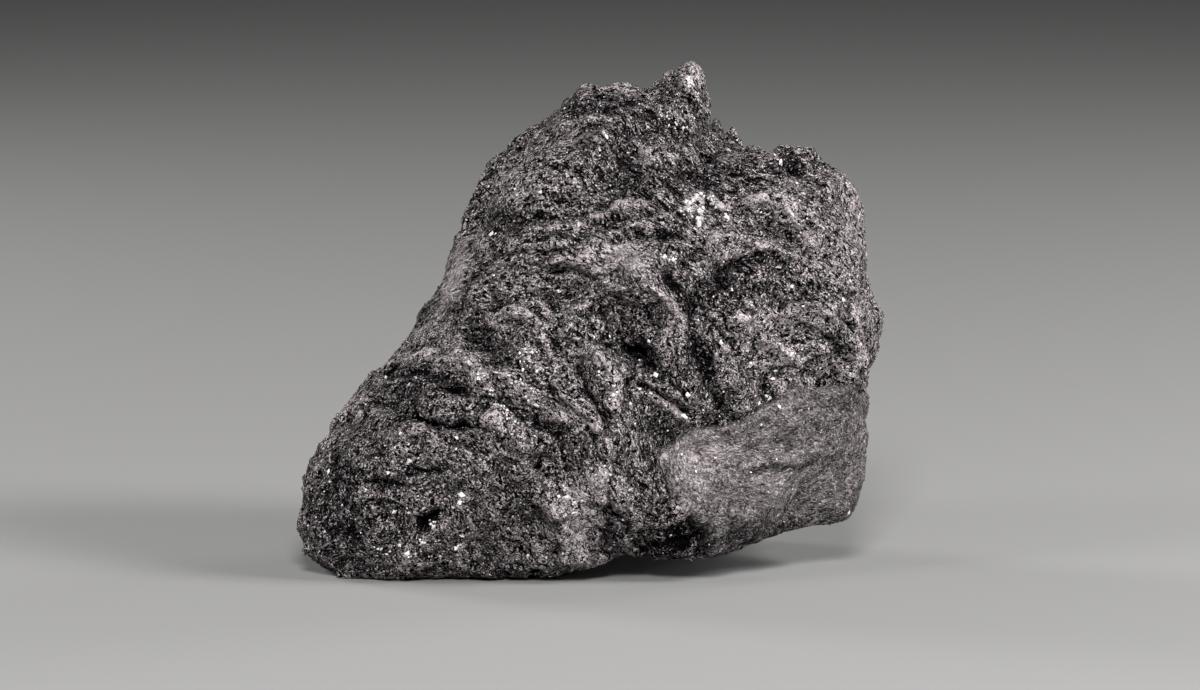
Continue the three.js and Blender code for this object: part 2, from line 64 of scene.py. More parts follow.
# the outline: u, v, how far behind the plan its rim lies, half the rim's thickness
OUTLINE = [
    (0.6, 4.9, -3, 12), (0.9, 8.5, -3, 12), (1.3, 11, -2, 12), (2.8, 13.6, -2, 12), (4.3, 16.8, -1, 11),
    (6.1, 18.8, -1, 11), (7.3, 21, 0, 10), (8.8, 21.5, 0, 10), (10.2, 22.5, 0, 10), (11.5, 24.8, 0, 11),
    (12.3, 27.3, 0, 12), (13.3, 29.4, 0, 12), (14.5, 31.6, 1, 12), (15.3, 33.4, 1, 12), (16.4, 37.4, 2, 11),
    (17.8, 41, 2, 9), (18.5, 43, 2, 9), (21.2, 44.7, 2, 9), (24, 45.8, 2, 9), (26.2, 47.3, 1, 9),
    (28, 49.1, 0, 8), (28.8, 49.8, 0, 8), (30.4, 49.6, 0, 9), (33.5, 49.4, 1, 9), (35, 49, 1, 9),
    (36.5, 50, 2, 9), (38, 51, 2, 9), (39.7, 51.8, 2, 9), (41.4, 50.9, 2, 9), (42.1, 49.3, 2, 9),
    (41.5, 47.6, 2, 9), (41.1, 46.2, 2, 9), (41.7, 45, 3, 9), (42.6, 44.4, 3, 9), (43.6, 45.6, 3, 9),
    (44.4, 44.4, 3, 9), (45.3, 42.7, 4, 9), (47.2, 42.8, 4, 10), (49.3, 44.8, 4, 10), (52.8, 44.7, 4, 10),
    (54.5, 41.9, 5, 11), (56.2, 38.4, 5, 12), (56.9, 34.9, 6, 12), (56.9, 30.6, 6, 12), (57.6, 28.2, 6, 10),
    (58.6, 25.6, 6, 10), (58.2, 22.8, 6, 10), (57.2, 20.5, 6, 12), (57.3, 16, 3, 13), (57.5, 13.3, 1, 13),
    (56.4, 9.5, -1, 12), (56.3, 7.3, -3, 10), (54.8, 5.9, -4, 9), (50, 4.7, -6, 8), (45, 3.3, -8, 8),
    (40, 2.4, -9, 8), (36, 2.6, -9, 8), (31, 1.7, -9, 8), (27, 0.5, -9, 9), (20, 0, -8, 10), (10, 0, -8, 10),
    (5.2, 0.1, -6, 10), (3.8, 1.1, -5, 11), (1.4, 2.8, -4, 12),
]
# the outline of the thick body inside the rim: u, v
BODY_OUTLINE = [
    (0.6, 6), (5.2, 17.5), (9.6, 21.6), (17.6, 38), (24.5, 45), (31, 47.6), (37.5, 47.2), (41.5, 43.5),
    (45.5, 42), (52, 42), (56, 37), (56.4, 22), (56.5, 10), (53, 5.8), (44, 3.2), (30, 1), (22, -1.4),
    (6, -1),
]
# big flat breaks: which way they face (right, up, towards the front) and distance from the centre
BREAKS = [
    ("central face", 0.02, 0.3, 0.95, 15), ("lower right face", 0.4, -0.1, 0.9, 16),
    ("left lobe", -0.38, 0.1, 0.92, 18.5), ("left flank", -0.8, 0.46, 0.38, 18),
    ("upper left block", -0.22, 0.55, 0.8, 17.5), ("upper right block", 0.35, 0.52, 0.78, 17),
    ("lobe underside", -0.15, -0.62, 0.77, 23.5), ("right underside", 0.15, -0.98, 0.05, 23.5),
    ("back", 0.1, 0.12, -0.98, 18), ("back left", -0.62, 0.15, -0.76, 19),
    ("back right", 0.66, 0.1, -0.74, 19), ("back top", -0.05, 0.72, -0.68, 19.5),
    ("back top left", -0.55, 0.62, -0.55, 19), ("back foot", -0.1, -0.62, -0.78, 23),
]
# how sharply the breaks meet, how round the rim is, how far the body blends into it, and how the runs fall
BREAK_SHARPNESS = 14.0
RIM_ROUNDNESS = 2.2
RIM_BLEND = 2.0
RUN_SHARPNESS = 0.7

# swellings and hollows: u, v, half width, half height, turn in degrees, height
FRONT_LUMPS = [
    ("lobe", 10, 9.5, 8, 7, 0, 1.8), ("lobe shoulder", 13, 18.5, 4, 2.2, -15, 0.9),
    ("bottom bulge", 25, 6, 4.5, 4.5, 0, 1.2), ("hollow above the lobe", 18.2, 23.8, 2.4, 1.6, -40, -2),
    ("left bulge", 22.8, 23.6, 2.3, 3.2, 0, 1.5), ("central swelling", 32.2, 31, 3.7, 2.2, -8, 2.2),
    ("pocket under it", 32.6, 26.2, 3, 2.2, 0, -1.1), ("deep hole", 33.6, 22.7, 1.9, 1, -22, -3.2),
    ("deep hole's tail", 35, 21.4, 0.9, 0.6, -50, -1.2),
    ("inside the nose arch", 35.8, 26.2, 0.9, 1.1, 20, -0.6), ("cheek", 37.5, 22.2, 1.8, 1.9, 0, 1.2),
    ("right hollow", 41.6, 28.6, 1.9, 1.5, 20, -1.5), ("right mound", 46.6, 28.9, 2.2, 1.8, 0, 1.2),
    ("right plane", 47.5, 23.4, 3.6, 2.2, -15, 1), ("far right", 52, 27.5, 3, 2, 0, 0.6),
    ("upper right block", 51, 38, 4.5, 4.5, 0, 1),
    ("hollow under the shoulder", 47.2, 35, 2.2, 1.3, -15, -0.8),
    ("mound left of it", 42, 34, 2.4, 1.3, -10, 0.8), ("arch flank", 39, 36.9, 1, 0.7, 20, 0.6),
    ("arch hole", 41.3, 37.2, 0.55, 0.45, 0, -1.1), ("upper left block", 22.3, 39.8, 3.2, 2.4, 10, 1),
    ("dark band under it", 22, 35.6, 3.6, 0.9, 0, -0.7),
    ("hollow of the crown", 32.3, 41.6, 1.9, 2.6, 0, -1.5),
    ("plane of the crown", 27.4, 43.8, 2.8, 1.6, 10, 0.8),
    ("pocket of the knob", 28.3, 47.4, 1.4, 0.8, 10, -1),
    ("black lens of the knob", 30.6, 47.4, 0.5, 1, -25, -1),
    ("hollow of the knob", 32.3, 47.5, 1, 0.7, -15, -0.9),
    ("core of the horn", 38.8, 47.6, 0.8, 1.4, 10, -0.4), ("valley floor", 26.6, 13, 2, 2, 0, -0.9),
    ("dark triangle", 35.2, 15, 1.6, 1.5, -30, -1), ("band behind the arch", 44, 40.2, 4.2, 0.9, 0, -0.9),
    ("cavity", 49.3, 40.7, 0.8, 0.6, -10, -3), ("lobe pit", 13.8, 6.3, 0.9, 0.35, 8, -1.6),
    ("lobe pit foot", 12.5, 5.2, 0.5, 0.6, 0, -1.4),
    ("notch under the smooth face", 38.2, 3.6, 1.5, 1.4, 15, -2.2), ("pit", 24, 11.2, 0.45, 0.4, 0, -0.9),
    ("pit by the bulge", 27, 28.1, 0.7, 0.35, 0, -0.9),
    ("second pit by the bulge", 25.4, 27.8, 0.6, 0.4, -20, -0.7),
    ("lump by the bulge", 27, 29.2, 0.7, 0.7, -60, 0.7),
    ("black spot of the band", 34.8, 37.9, 0.5, 0.3, 0, -0.9),
    ("black lens under the band", 36.8, 34.3, 1.5, 0.35, -4, -0.9),
    ("round dark place", 38.5, 31.4, 0.6, 0.5, 0, -0.9), ("dark bar", 46.8, 18.5, 0.6, 0.9, 20, -1.1),
    ("dark place far right", 53, 24.2, 1.1, 0.5, -15, -0.6),
    ("notch of the edge", 19.4, 40.1, 0.6, 0.35, 10, -1),
]
BACK_LUMPS = [
    ("back swelling", 24, 18, 7, 6, 20, 2), ("back hollow", 40, 27, 5, 6, 0, -2.2),
    ("back shoulder", 47, 36, 5, 3, 0, 1.4), ("back foot", 44, 8, 6, 4, 0, 1.4),
    ("back dent", 30, 37, 4, 3, 20, -1.4), ("back scoop", 15, 10, 4, 3, 0, -1),
]
ARCH = [(38.5, 36.8), (39.4, 37.7), (40.3, 38.3), (41, 38.4), (41.8, 37.8), (42.4, 37)]
# ridges and grooves: height, width to each side (or the widths on the run's left and right), the run
FRONT_RUNS = [
    ("lobe ridge", 1.2, (0.7, 1.1), [
        (15, 23.2), (17.3, 20.9), (18.3, 19.1), (19.1, 17.4), (20.3, 16), (22.3, 14.4),
    ]),
    ("lobe ridge line", 0.5, (0.25, 0.3), [
        (17.6, 21.6), (18.9, 19.6), (19.8, 18), (21, 16.4), (22.4, 15.2),
    ]),
    ("lobe valley", -0.5, 0.8, [(19.4, 19.2), (21, 17.9), (22.6, 16.5), (24.6, 14.9)]),
    ("second ridge", 1.2, (0.6, 1), [
        (19, 20.5), (20.6, 20.5), (22.4, 19.8), (24, 18.3), (25.2, 16.6), (26.6, 15.2),
    ]),
    ("line above it", 0.5, (0.4, 0.3), [(18.6, 21.7), (21, 21.2), (23.2, 20.3)]),
    ("left arc", 0.9, (0.5, 1.2), [(19.5, 26.3), (21.5, 27), (23.3, 26.2), (24.5, 25), (25.1, 23.6)]),
    ("outer arc", 0.7, (0.4, 0.6), [(21.8, 28.1), (24.4, 27.1), (25.8, 25.6)]),
    ("lobe crack", -1.6, 0.3, [(11.8, 16.2), (13.2, 15.5), (14.8, 15.2), (18.2, 15.3)]),
    ("lobe crack mouth", -0.9, (0.35, 0.3), [(11.8, 16), (13.6, 15.5)]),
    ("lobe slot", -1.2, 0.25, [(14.2, 18.7), (15.4, 18.4), (16.7, 18.1)]),
    ("lobe slot's lead", -0.6, 0.3, [(9, 19.2), (11.5, 19.5), (14.2, 18.7)]),
    ("lobe lens", 0.4, (0.3, 0.6), [(13.2, 17.9), (15.2, 17.8), (17.4, 17.5)]),
    ("upper fold of the lobe", 0.8, (0.5, 0.9), [(9.3, 21.7), (11.8, 22.1), (14.3, 21.7), (16, 20.4)]),
    ("dark line over the fold", -0.8, 0.3, [(9.8, 22.4), (12, 22.8), (14.2, 22.7)]),
    ("second dark line", -0.7, (0.35, 0.3), [(7.6, 20.3), (10.2, 20.5), (13, 20.2), (14.6, 19.6)]),
    ("third dark line", -0.6, (0.3, 0.4), [(7.5, 17.4), (9.4, 17.2), (11.2, 17.4)]),
    ("lobe rib", 0.5, (0.3, 0.5), [(10.5, 15.6), (13, 14.7), (14.2, 13.4), (14.9, 11.6)]),
    ("lobe shelf", -0.8, (0.3, 0.7), [(3.8, 10), (6.5, 9.9), (9, 9.6), (10.4, 9.3)]),
    ("lobe shelf right", -0.6, (0.3, 0.5), [(11.5, 10.6), (13.5, 10.9), (15.2, 10.8)]),
    ("nose arch", 1.3, (0.5, 0.8), [
        (35, 28.9), (36.3, 28.3), (37.6, 27.3), (38.4, 25.9), (38.7, 24.2), (39.4, 22.2),
    ]),
    ("inner leg of the nose", 0.7, (0.4, 0.5), [(37.9, 25.6), (36.8, 24.3), (36, 22.8)]),
    ("black crease over the nose", -0.7, (0.8, 0.4), [(37, 29.7), (37.8, 29.3), (38.5, 28.1), (39.3, 26.3)]),
    ("nose valley", -1, (1, 0.8), [
        (39.3, 26.3), (39.8, 24.2), (40.4, 22.2), (41.2, 20.2), (41.8, 18.2), (42.8, 16.4),
    ]),
    ("long ridge", 1.5, 0.9, [
        (26.6, 24.6), (28.5, 23.5), (30.4, 21.8), (31.7, 20), (32.2, 18), (31.7, 15.6), (31.2, 12.6),
        (30.4, 9.6),
    ]),
    ("line beside the long ridge", 0.5, 0.3, [(27.8, 22.9), (29.8, 21), (30.9, 19.2), (31.2, 17)]),
    ("side groove", -0.9, (0.6, 0.5), [(28.2, 21), (28.9, 19), (29.8, 17), (30.4, 15.4), (30.2, 13.4)]),
    ("side rib", 0.8, 0.4, [(25.8, 19.6), (27.3, 17.3), (28.8, 15.9), (29.8, 14.5)]),
    ("second side rib", 0.7, 0.4, [(24.6, 18), (26.4, 16.3), (28, 14.9), (29, 13.2)]),
    ("between the side ribs", -0.5, 0.35, [(25.3, 18.6), (26.8, 16.8), (28.3, 15.4)]),
    ("bulge lip", 0.9, (1, 0.35), [(25.2, 31.3), (27, 31.9), (28.6, 31.5), (29.6, 30.8)]),
    ("bulge top lip", 0.8, (0.5, 0.7), [(28.4, 32.3), (30.4, 33.2), (33, 33.3), (35.2, 32.5)]),
    ("line over the bulge", 0.5, (0.4, 0.3), [(28.4, 33.1), (30.8, 34), (33.6, 35.1)]),
    ("under the lip", -0.7, (0.3, 0.7), [(25.6, 30.6), (27.4, 30.8), (29.2, 30.2)]),
    ("pocket's left edge", 0.5, (0.4, 0.5), [(27.2, 26.2), (28.8, 27.2), (30.2, 28.4)]),
    ("long ledge", 1.1, (0.45, 0.9), [(23.6, 34.9), (26.8, 35.1), (29.3, 35.9), (31.5, 36.9), (34.2, 37.4)]),
    ("dark line over the ledge", -0.9, (0.35, 0.3), [(28.4, 36), (30.2, 36.8), (31.9, 37.5)]),
    ("lower ledge", 0.7, (0.9, 0.35), [(18, 33), (21, 32.7), (24, 32.9), (27, 33.4)]),
    ("dark places left", -0.7, 0.5, [(19.4, 36.4), (21.6, 36.3), (24.4, 36)]),
    ("crack behind the arch", -0.8, 0.3, [(40.3, 41), (41.4, 41.6), (42.8, 42.5)]),
    ("crest right of the hollow", 0.9, (0.8, 0.35), [
        (43.8, 33.9), (45.4, 33.5), (47, 33.2), (48.4, 32.6), (49.6, 31.9),
    ]),
    ("white arch", 0.7, 0.3, ARCH),
    ("white arch's foot", 0.6, 0.3, [(40.3, 37.4), (40.3, 36.5), (40.6, 35.7)]),
    ("black crevice", -1.2, (0.5, 0.7), [(43, 30.9), (44.6, 31.6), (46.2, 32.3), (47.6, 32.4)]),
    ("crevice's tail", -0.5, 0.4, [(40.4, 29.4), (42, 30.2), (43.2, 31.2)]),
    ("shoulder", 1.3, 0.9, [(44.3, 37.3), (46, 38), (48, 37.7), (49.4, 36.6), (50.2, 35.2), (51.2, 33.6)]),
    ("right crest", 1, (0.6, 0.9), [(43.8, 25.7), (46, 26.4), (48.6, 26.7), (51.8, 27), (53.6, 26.4)]),
    ("bright rib", 0.7, (0.5, 0.6), [(46.8, 23.6), (48.6, 22.8), (49.7, 21.8), (50.5, 20.4)]),
    ("line by the valley", -0.5, 0.25, [(40, 25.3), (41.4, 24.9), (43, 24.6)]),
    ("rib by the valley", 0.7, (0.5, 0.4), [(39.6, 26), (41, 25.5), (42.2, 24.2), (43, 23)]),
    ("under the right plane", -0.2, 0.5, [(44.6, 20.8), (47.6, 20), (50.4, 19.9), (54.2, 20)]),
    ("right valley", -0.9, (0.4, 0.5), [(51.6, 24.9), (53.4, 24), (54.2, 22.8), (55.2, 21.2)]),
    ("edge ridge", 0.8, (0.4, 0.5), [(55.2, 25.8), (56.2, 23.6), (57, 20.8)]),
    ("edge slot", -0.8, (0.4, 0.5), [(55.3, 28.4), (55.2, 26.4), (55.6, 24.6)]),
    ("thin rib", 0.6, 0.3, [(34.4, 20), (35.6, 19.4), (37.3, 18.4), (39.2, 17.2)]),
    ("lower thin rib", 0.6, 0.3, [(35.2, 18.2), (37, 17), (38.8, 15.7)]),
    ("between thin ribs", -0.5, 0.35, [(35.8, 18.8), (37.2, 17.8), (38.8, 16.6)]),
    ("face step", -1.2, (2, 0.3), [
        (35.6, 11.4), (36.4, 13), (38.2, 14.6), (39.8, 15), (42.4, 15.2), (44, 16), (45.6, 17), (47.2, 17.3),
        (48.4, 18.4), (50.2, 19.2), (53.2, 19.3), (56.8, 18.8),
    ]),
    ("bottom crease", -1, (0.7, 0.35), [(31, 9.6), (30.8, 6.5), (30.6, 3.4), (31, 1.4)]),
    ("foot step", -1.4, (0.25, 1.3), [(26.2, 4.6), (26.1, 2.5), (25.6, 0)]),
    ("edge of the notch", -1.1, (0.3, 0.6), [(40.3, 2.4), (39.9, 4.2), (39.2, 5.8)]),
    ("other edge of the notch", -0.8, (0.6, 0.3), [(36.3, 3), (37.6, 4.4), (39.2, 5.8)]),
    ("dark dash", -0.7, 0.25, [(36.6, 7.3), (37.4, 7.7), (38.2, 7.7)]),
    ("crown rib", 0.7, 0.4, [(37.6, 43.9), (38.6, 42.6), (39.3, 41.2), (40.4, 40.2)]),
    ("second crown rib", 0.5, 0.35, [(36.2, 42.8), (37.2, 41.8), (38, 40.6)]),
    ("edge of the pale flake", -0.9, (0.5, 0.2), [(34.2, 43), (34.1, 42.2), (34.6, 41.2), (35, 40.4)]),
    ("knob's foot line", 0.4, (0.5, 0.3), [(24.6, 44.8), (27.2, 45.2), (30, 45.8), (33, 46.2)]),
    ("face crack", -0.35, 0.25, [(45.6, 10.2), (47.2, 10.8), (49.5, 10.5), (51, 11.1), (53.4, 11.1)]),
    ("blade edge", -0.8, (0.3, 0.9), [(17.9, 35), (17.4, 33.4), (16.9, 31.4), (16.9, 29.4), (16.4, 27)]),
    ("groove of the lower block", -0.6, 0.3, [(32.8, 12.4), (33.4, 10.8), (33.2, 9.4)]),
]
BACK_RUNS = [
    ("back ridge", 1.6, (2.2, 1), [(10, 14), (18, 22), (27, 27), (33, 36), (36, 44)]),
    ("back ledge", 1.3, (0.6, 2.5), [(34, 16), (41, 18), (48, 16), (54, 18)]),
    ("back groove", -1.3, (0.7, 1), [(20, 30), (27, 33), (36, 33), (44, 37)]),
    ("back crack", -1, (0.4, 0.5), [(28, 4), (31, 12), (37, 17), (45, 27)]),
]
# knobs off the plan: u, v, how far behind it, size, height
KNOBS = [
    (43.5, 3, 9.5, 5, 3), (30, 44, 14, 3, 1.5), (52, 38, 14, 4, 1.5),
]
# nubs that stand up off the crown: u, how far behind the plan, size, height
NUBS = [
    ("crown's back", 42.3, 7.5, 3.5, 2), ("nub behind the horn", 41.9, 6, 1.25, 4.1),
    ("tooth", 43.6, 3, 0.7, 1.5),
]
NUB_FOOT = (34, 38)
# flat chips: how many, how deep and far each planes, by how much that varies, and how far it leans
CHIP_COUNT = 90
CHIP_DEPTH = 1.3
CHIP_DEPTH_RANGE = 0.8
CHIP_REACH = 7
CHIP_REACH_RANGE = 3
CHIP_LEAN = 0.25
CHIP_SHARE_IN_FRONT = 0.3
GOLDEN_ANGLE = 2.399963
# how much of the chips and the roughness the rim takes, and how wide it is
RIM_SHARE = 0.3
RIM_WIDTH = 3.5
# noise layers: amount, size, seed
ROUGH_LAYERS = [(1, 7, 1), (0.6, 3.6, 2), (0.35, 1.9, 3), (0.2, 1, 4)]
BEND_LAYERS = [(0.3, 3.2, 11), (0.3, 1.3, 14), (0.15, 0.6, 17)]

# the edges of the smooth lower right face: v of its upper edge at each u, u of its left edge at each v
SMOOTH_EDGE_U = [35.6, 36.4, 38.2, 39.8, 42.4, 44.0, 45.6, 47.2, 48.4, 50.2, 53.2, 57]
SMOOTH_EDGE_V = [11.4, 13.0, 14.6, 15.0, 15.2, 16.0, 17.0, 17.3, 18.4, 19.2, 19.3, 18.8]
SMOOTH_LEFT_V = [0, 3.5, 5.8, 8.0, 10.0, 11.6]
SMOOTH_LEFT_U = [40.4, 40.2, 38.6, 37.7, 37.2, 35.8]
# the inner edge of the smooth blade on the left flank: its u at each v
BLADE_EDGE_V = [26, 29.4, 31.4, 33.4]
BLADE_EDGE_U = [15.6, 16.7, 16.8, 17.2]
# other smooth places: u, v, half width, half height, turn, how smooth
SMOOTH_PLACES = [
    ("central swelling", 32.4, 31.2, 3.4, 2, -8, 0.95),
    ("plane of the crown", 27.4, 43.6, 2.4, 1.4, 10, 0.65),
    ("upper left block", 22.6, 38.4, 1.8, 1.2, 10, 0.45), ("left blade", 15.7, 30.1, 1.1, 4, -22, 1),
    ("pale flake", 34.7, 41.5, 0.5, 0.9, 25, 0.9), ("arch flank", 39, 37, 0.9, 0.7, 20, 0.8),
    ("mound", 42, 34, 2, 1.1, -10, 0.5), ("right edge facet", 55.6, 36, 1, 4, 5, 0.6),
    ("right plane", 47, 24, 2.8, 1.6, -20, 0.35), ("nose", 37.4, 27.2, 0.8, 1.6, 35, 0.5),
    ("bump at the edge", 57.3, 26.5, 0.8, 2, 0, 0.5), ("left bulge", 22.6, 24.6, 1.8, 2, 0, 0.4),
    ("lower block", 36.2, 8, 1.4, 2.2, 0, 0.5), ("bottom bulge", 28, 5.6, 1.6, 3, -10, 0.3),
]
BACK_SMOOTH_PLACES = [("nub", 42.0, 45.4, 1.6, 2.6, 0, 1.0)]
# which way the stone's layers run across the front: u, v, degrees up from the right
LAYERS = [
    (12, 19, -5), (7, 18.5, 30), (5, 15, 55), (16.5, 18, -25), (10, 13, -10), (14.5, 15.4, -10),
    (14, 13, -50), (10, 8.5, 0), (4, 3.5, -30), (2, 8, 65), (11, 3, 5), (18, 9, -70), (25, 6, -65),
    (20, 3, -30), (17, 20.5, -45), (19.5, 17, -58), (21.5, 15, -50), (24, 17, -42), (26, 15.5, -48),
    (28.5, 17, -58), (29, 13, -75), (31, 14, -85), (31.8, 18, -78), (30, 22, -38), (27, 24, -25),
    (23, 12, -60), (21.5, 26.5, 0), (24.5, 24.5, -45), (19, 29, 10), (17, 26, -15), (21.5, 22.5, -55),
    (22, 30, 14), (27, 30, 5), (20, 34, 8), (26, 35, 16), (31, 37, 22), (35, 37.5, 0), (30, 33.5, 8),
    (33, 31.5, 0), (36, 32, -25), (37, 27.5, -45), (38.3, 25, -80), (33, 26, -30), (34, 22.8, -30),
    (37, 21, -40), (36, 18.5, -30), (38, 17, -35), (41, 20, -58), (40, 24, -60), (42, 16.5, -10),
    (42, 28, -20), (45, 25.8, -5), (48.5, 24, -40), (50, 21, -70), (46, 21, -20), (53, 23.5, -35),
    (55, 22, -60), (56.5, 26, -80), (52, 27, -5), (41.5, 34.5, -12), (45, 33.5, -5), (49, 32.5, -30),
    (51, 30, -35), (46.5, 38, 0), (50, 35.5, -60), (53, 33, -50), (55, 37, -80), (28, 44.5, -12),
    (22, 41, 35), (19, 38, 65), (33, 42, -70), (37, 42, -58), (40, 44, -65), (39, 48, -75),
    (36.3, 47.5, -60), (30, 48, -5), (26, 46.5, 45), (43, 40, -3), (48, 41.5, 0), (52, 42.5, -25),
    (14, 30, 62), (12, 25, 55), (16, 34, 72), (47, 11, 27), (40, 11, 30), (53, 14, 25), (45, 6, 22),
    (40, 5, 25), (33, 6, -80), (36, 8, -75),
]
LAYER_REACH = 3.2
# the grid that the layers' coordinates are worked out on: step, first place, how wide and tall
LAYER_GRID = 2.0
LAYER_START = -5.0
LAYER_WIDE = 70
LAYER_TALL = 62
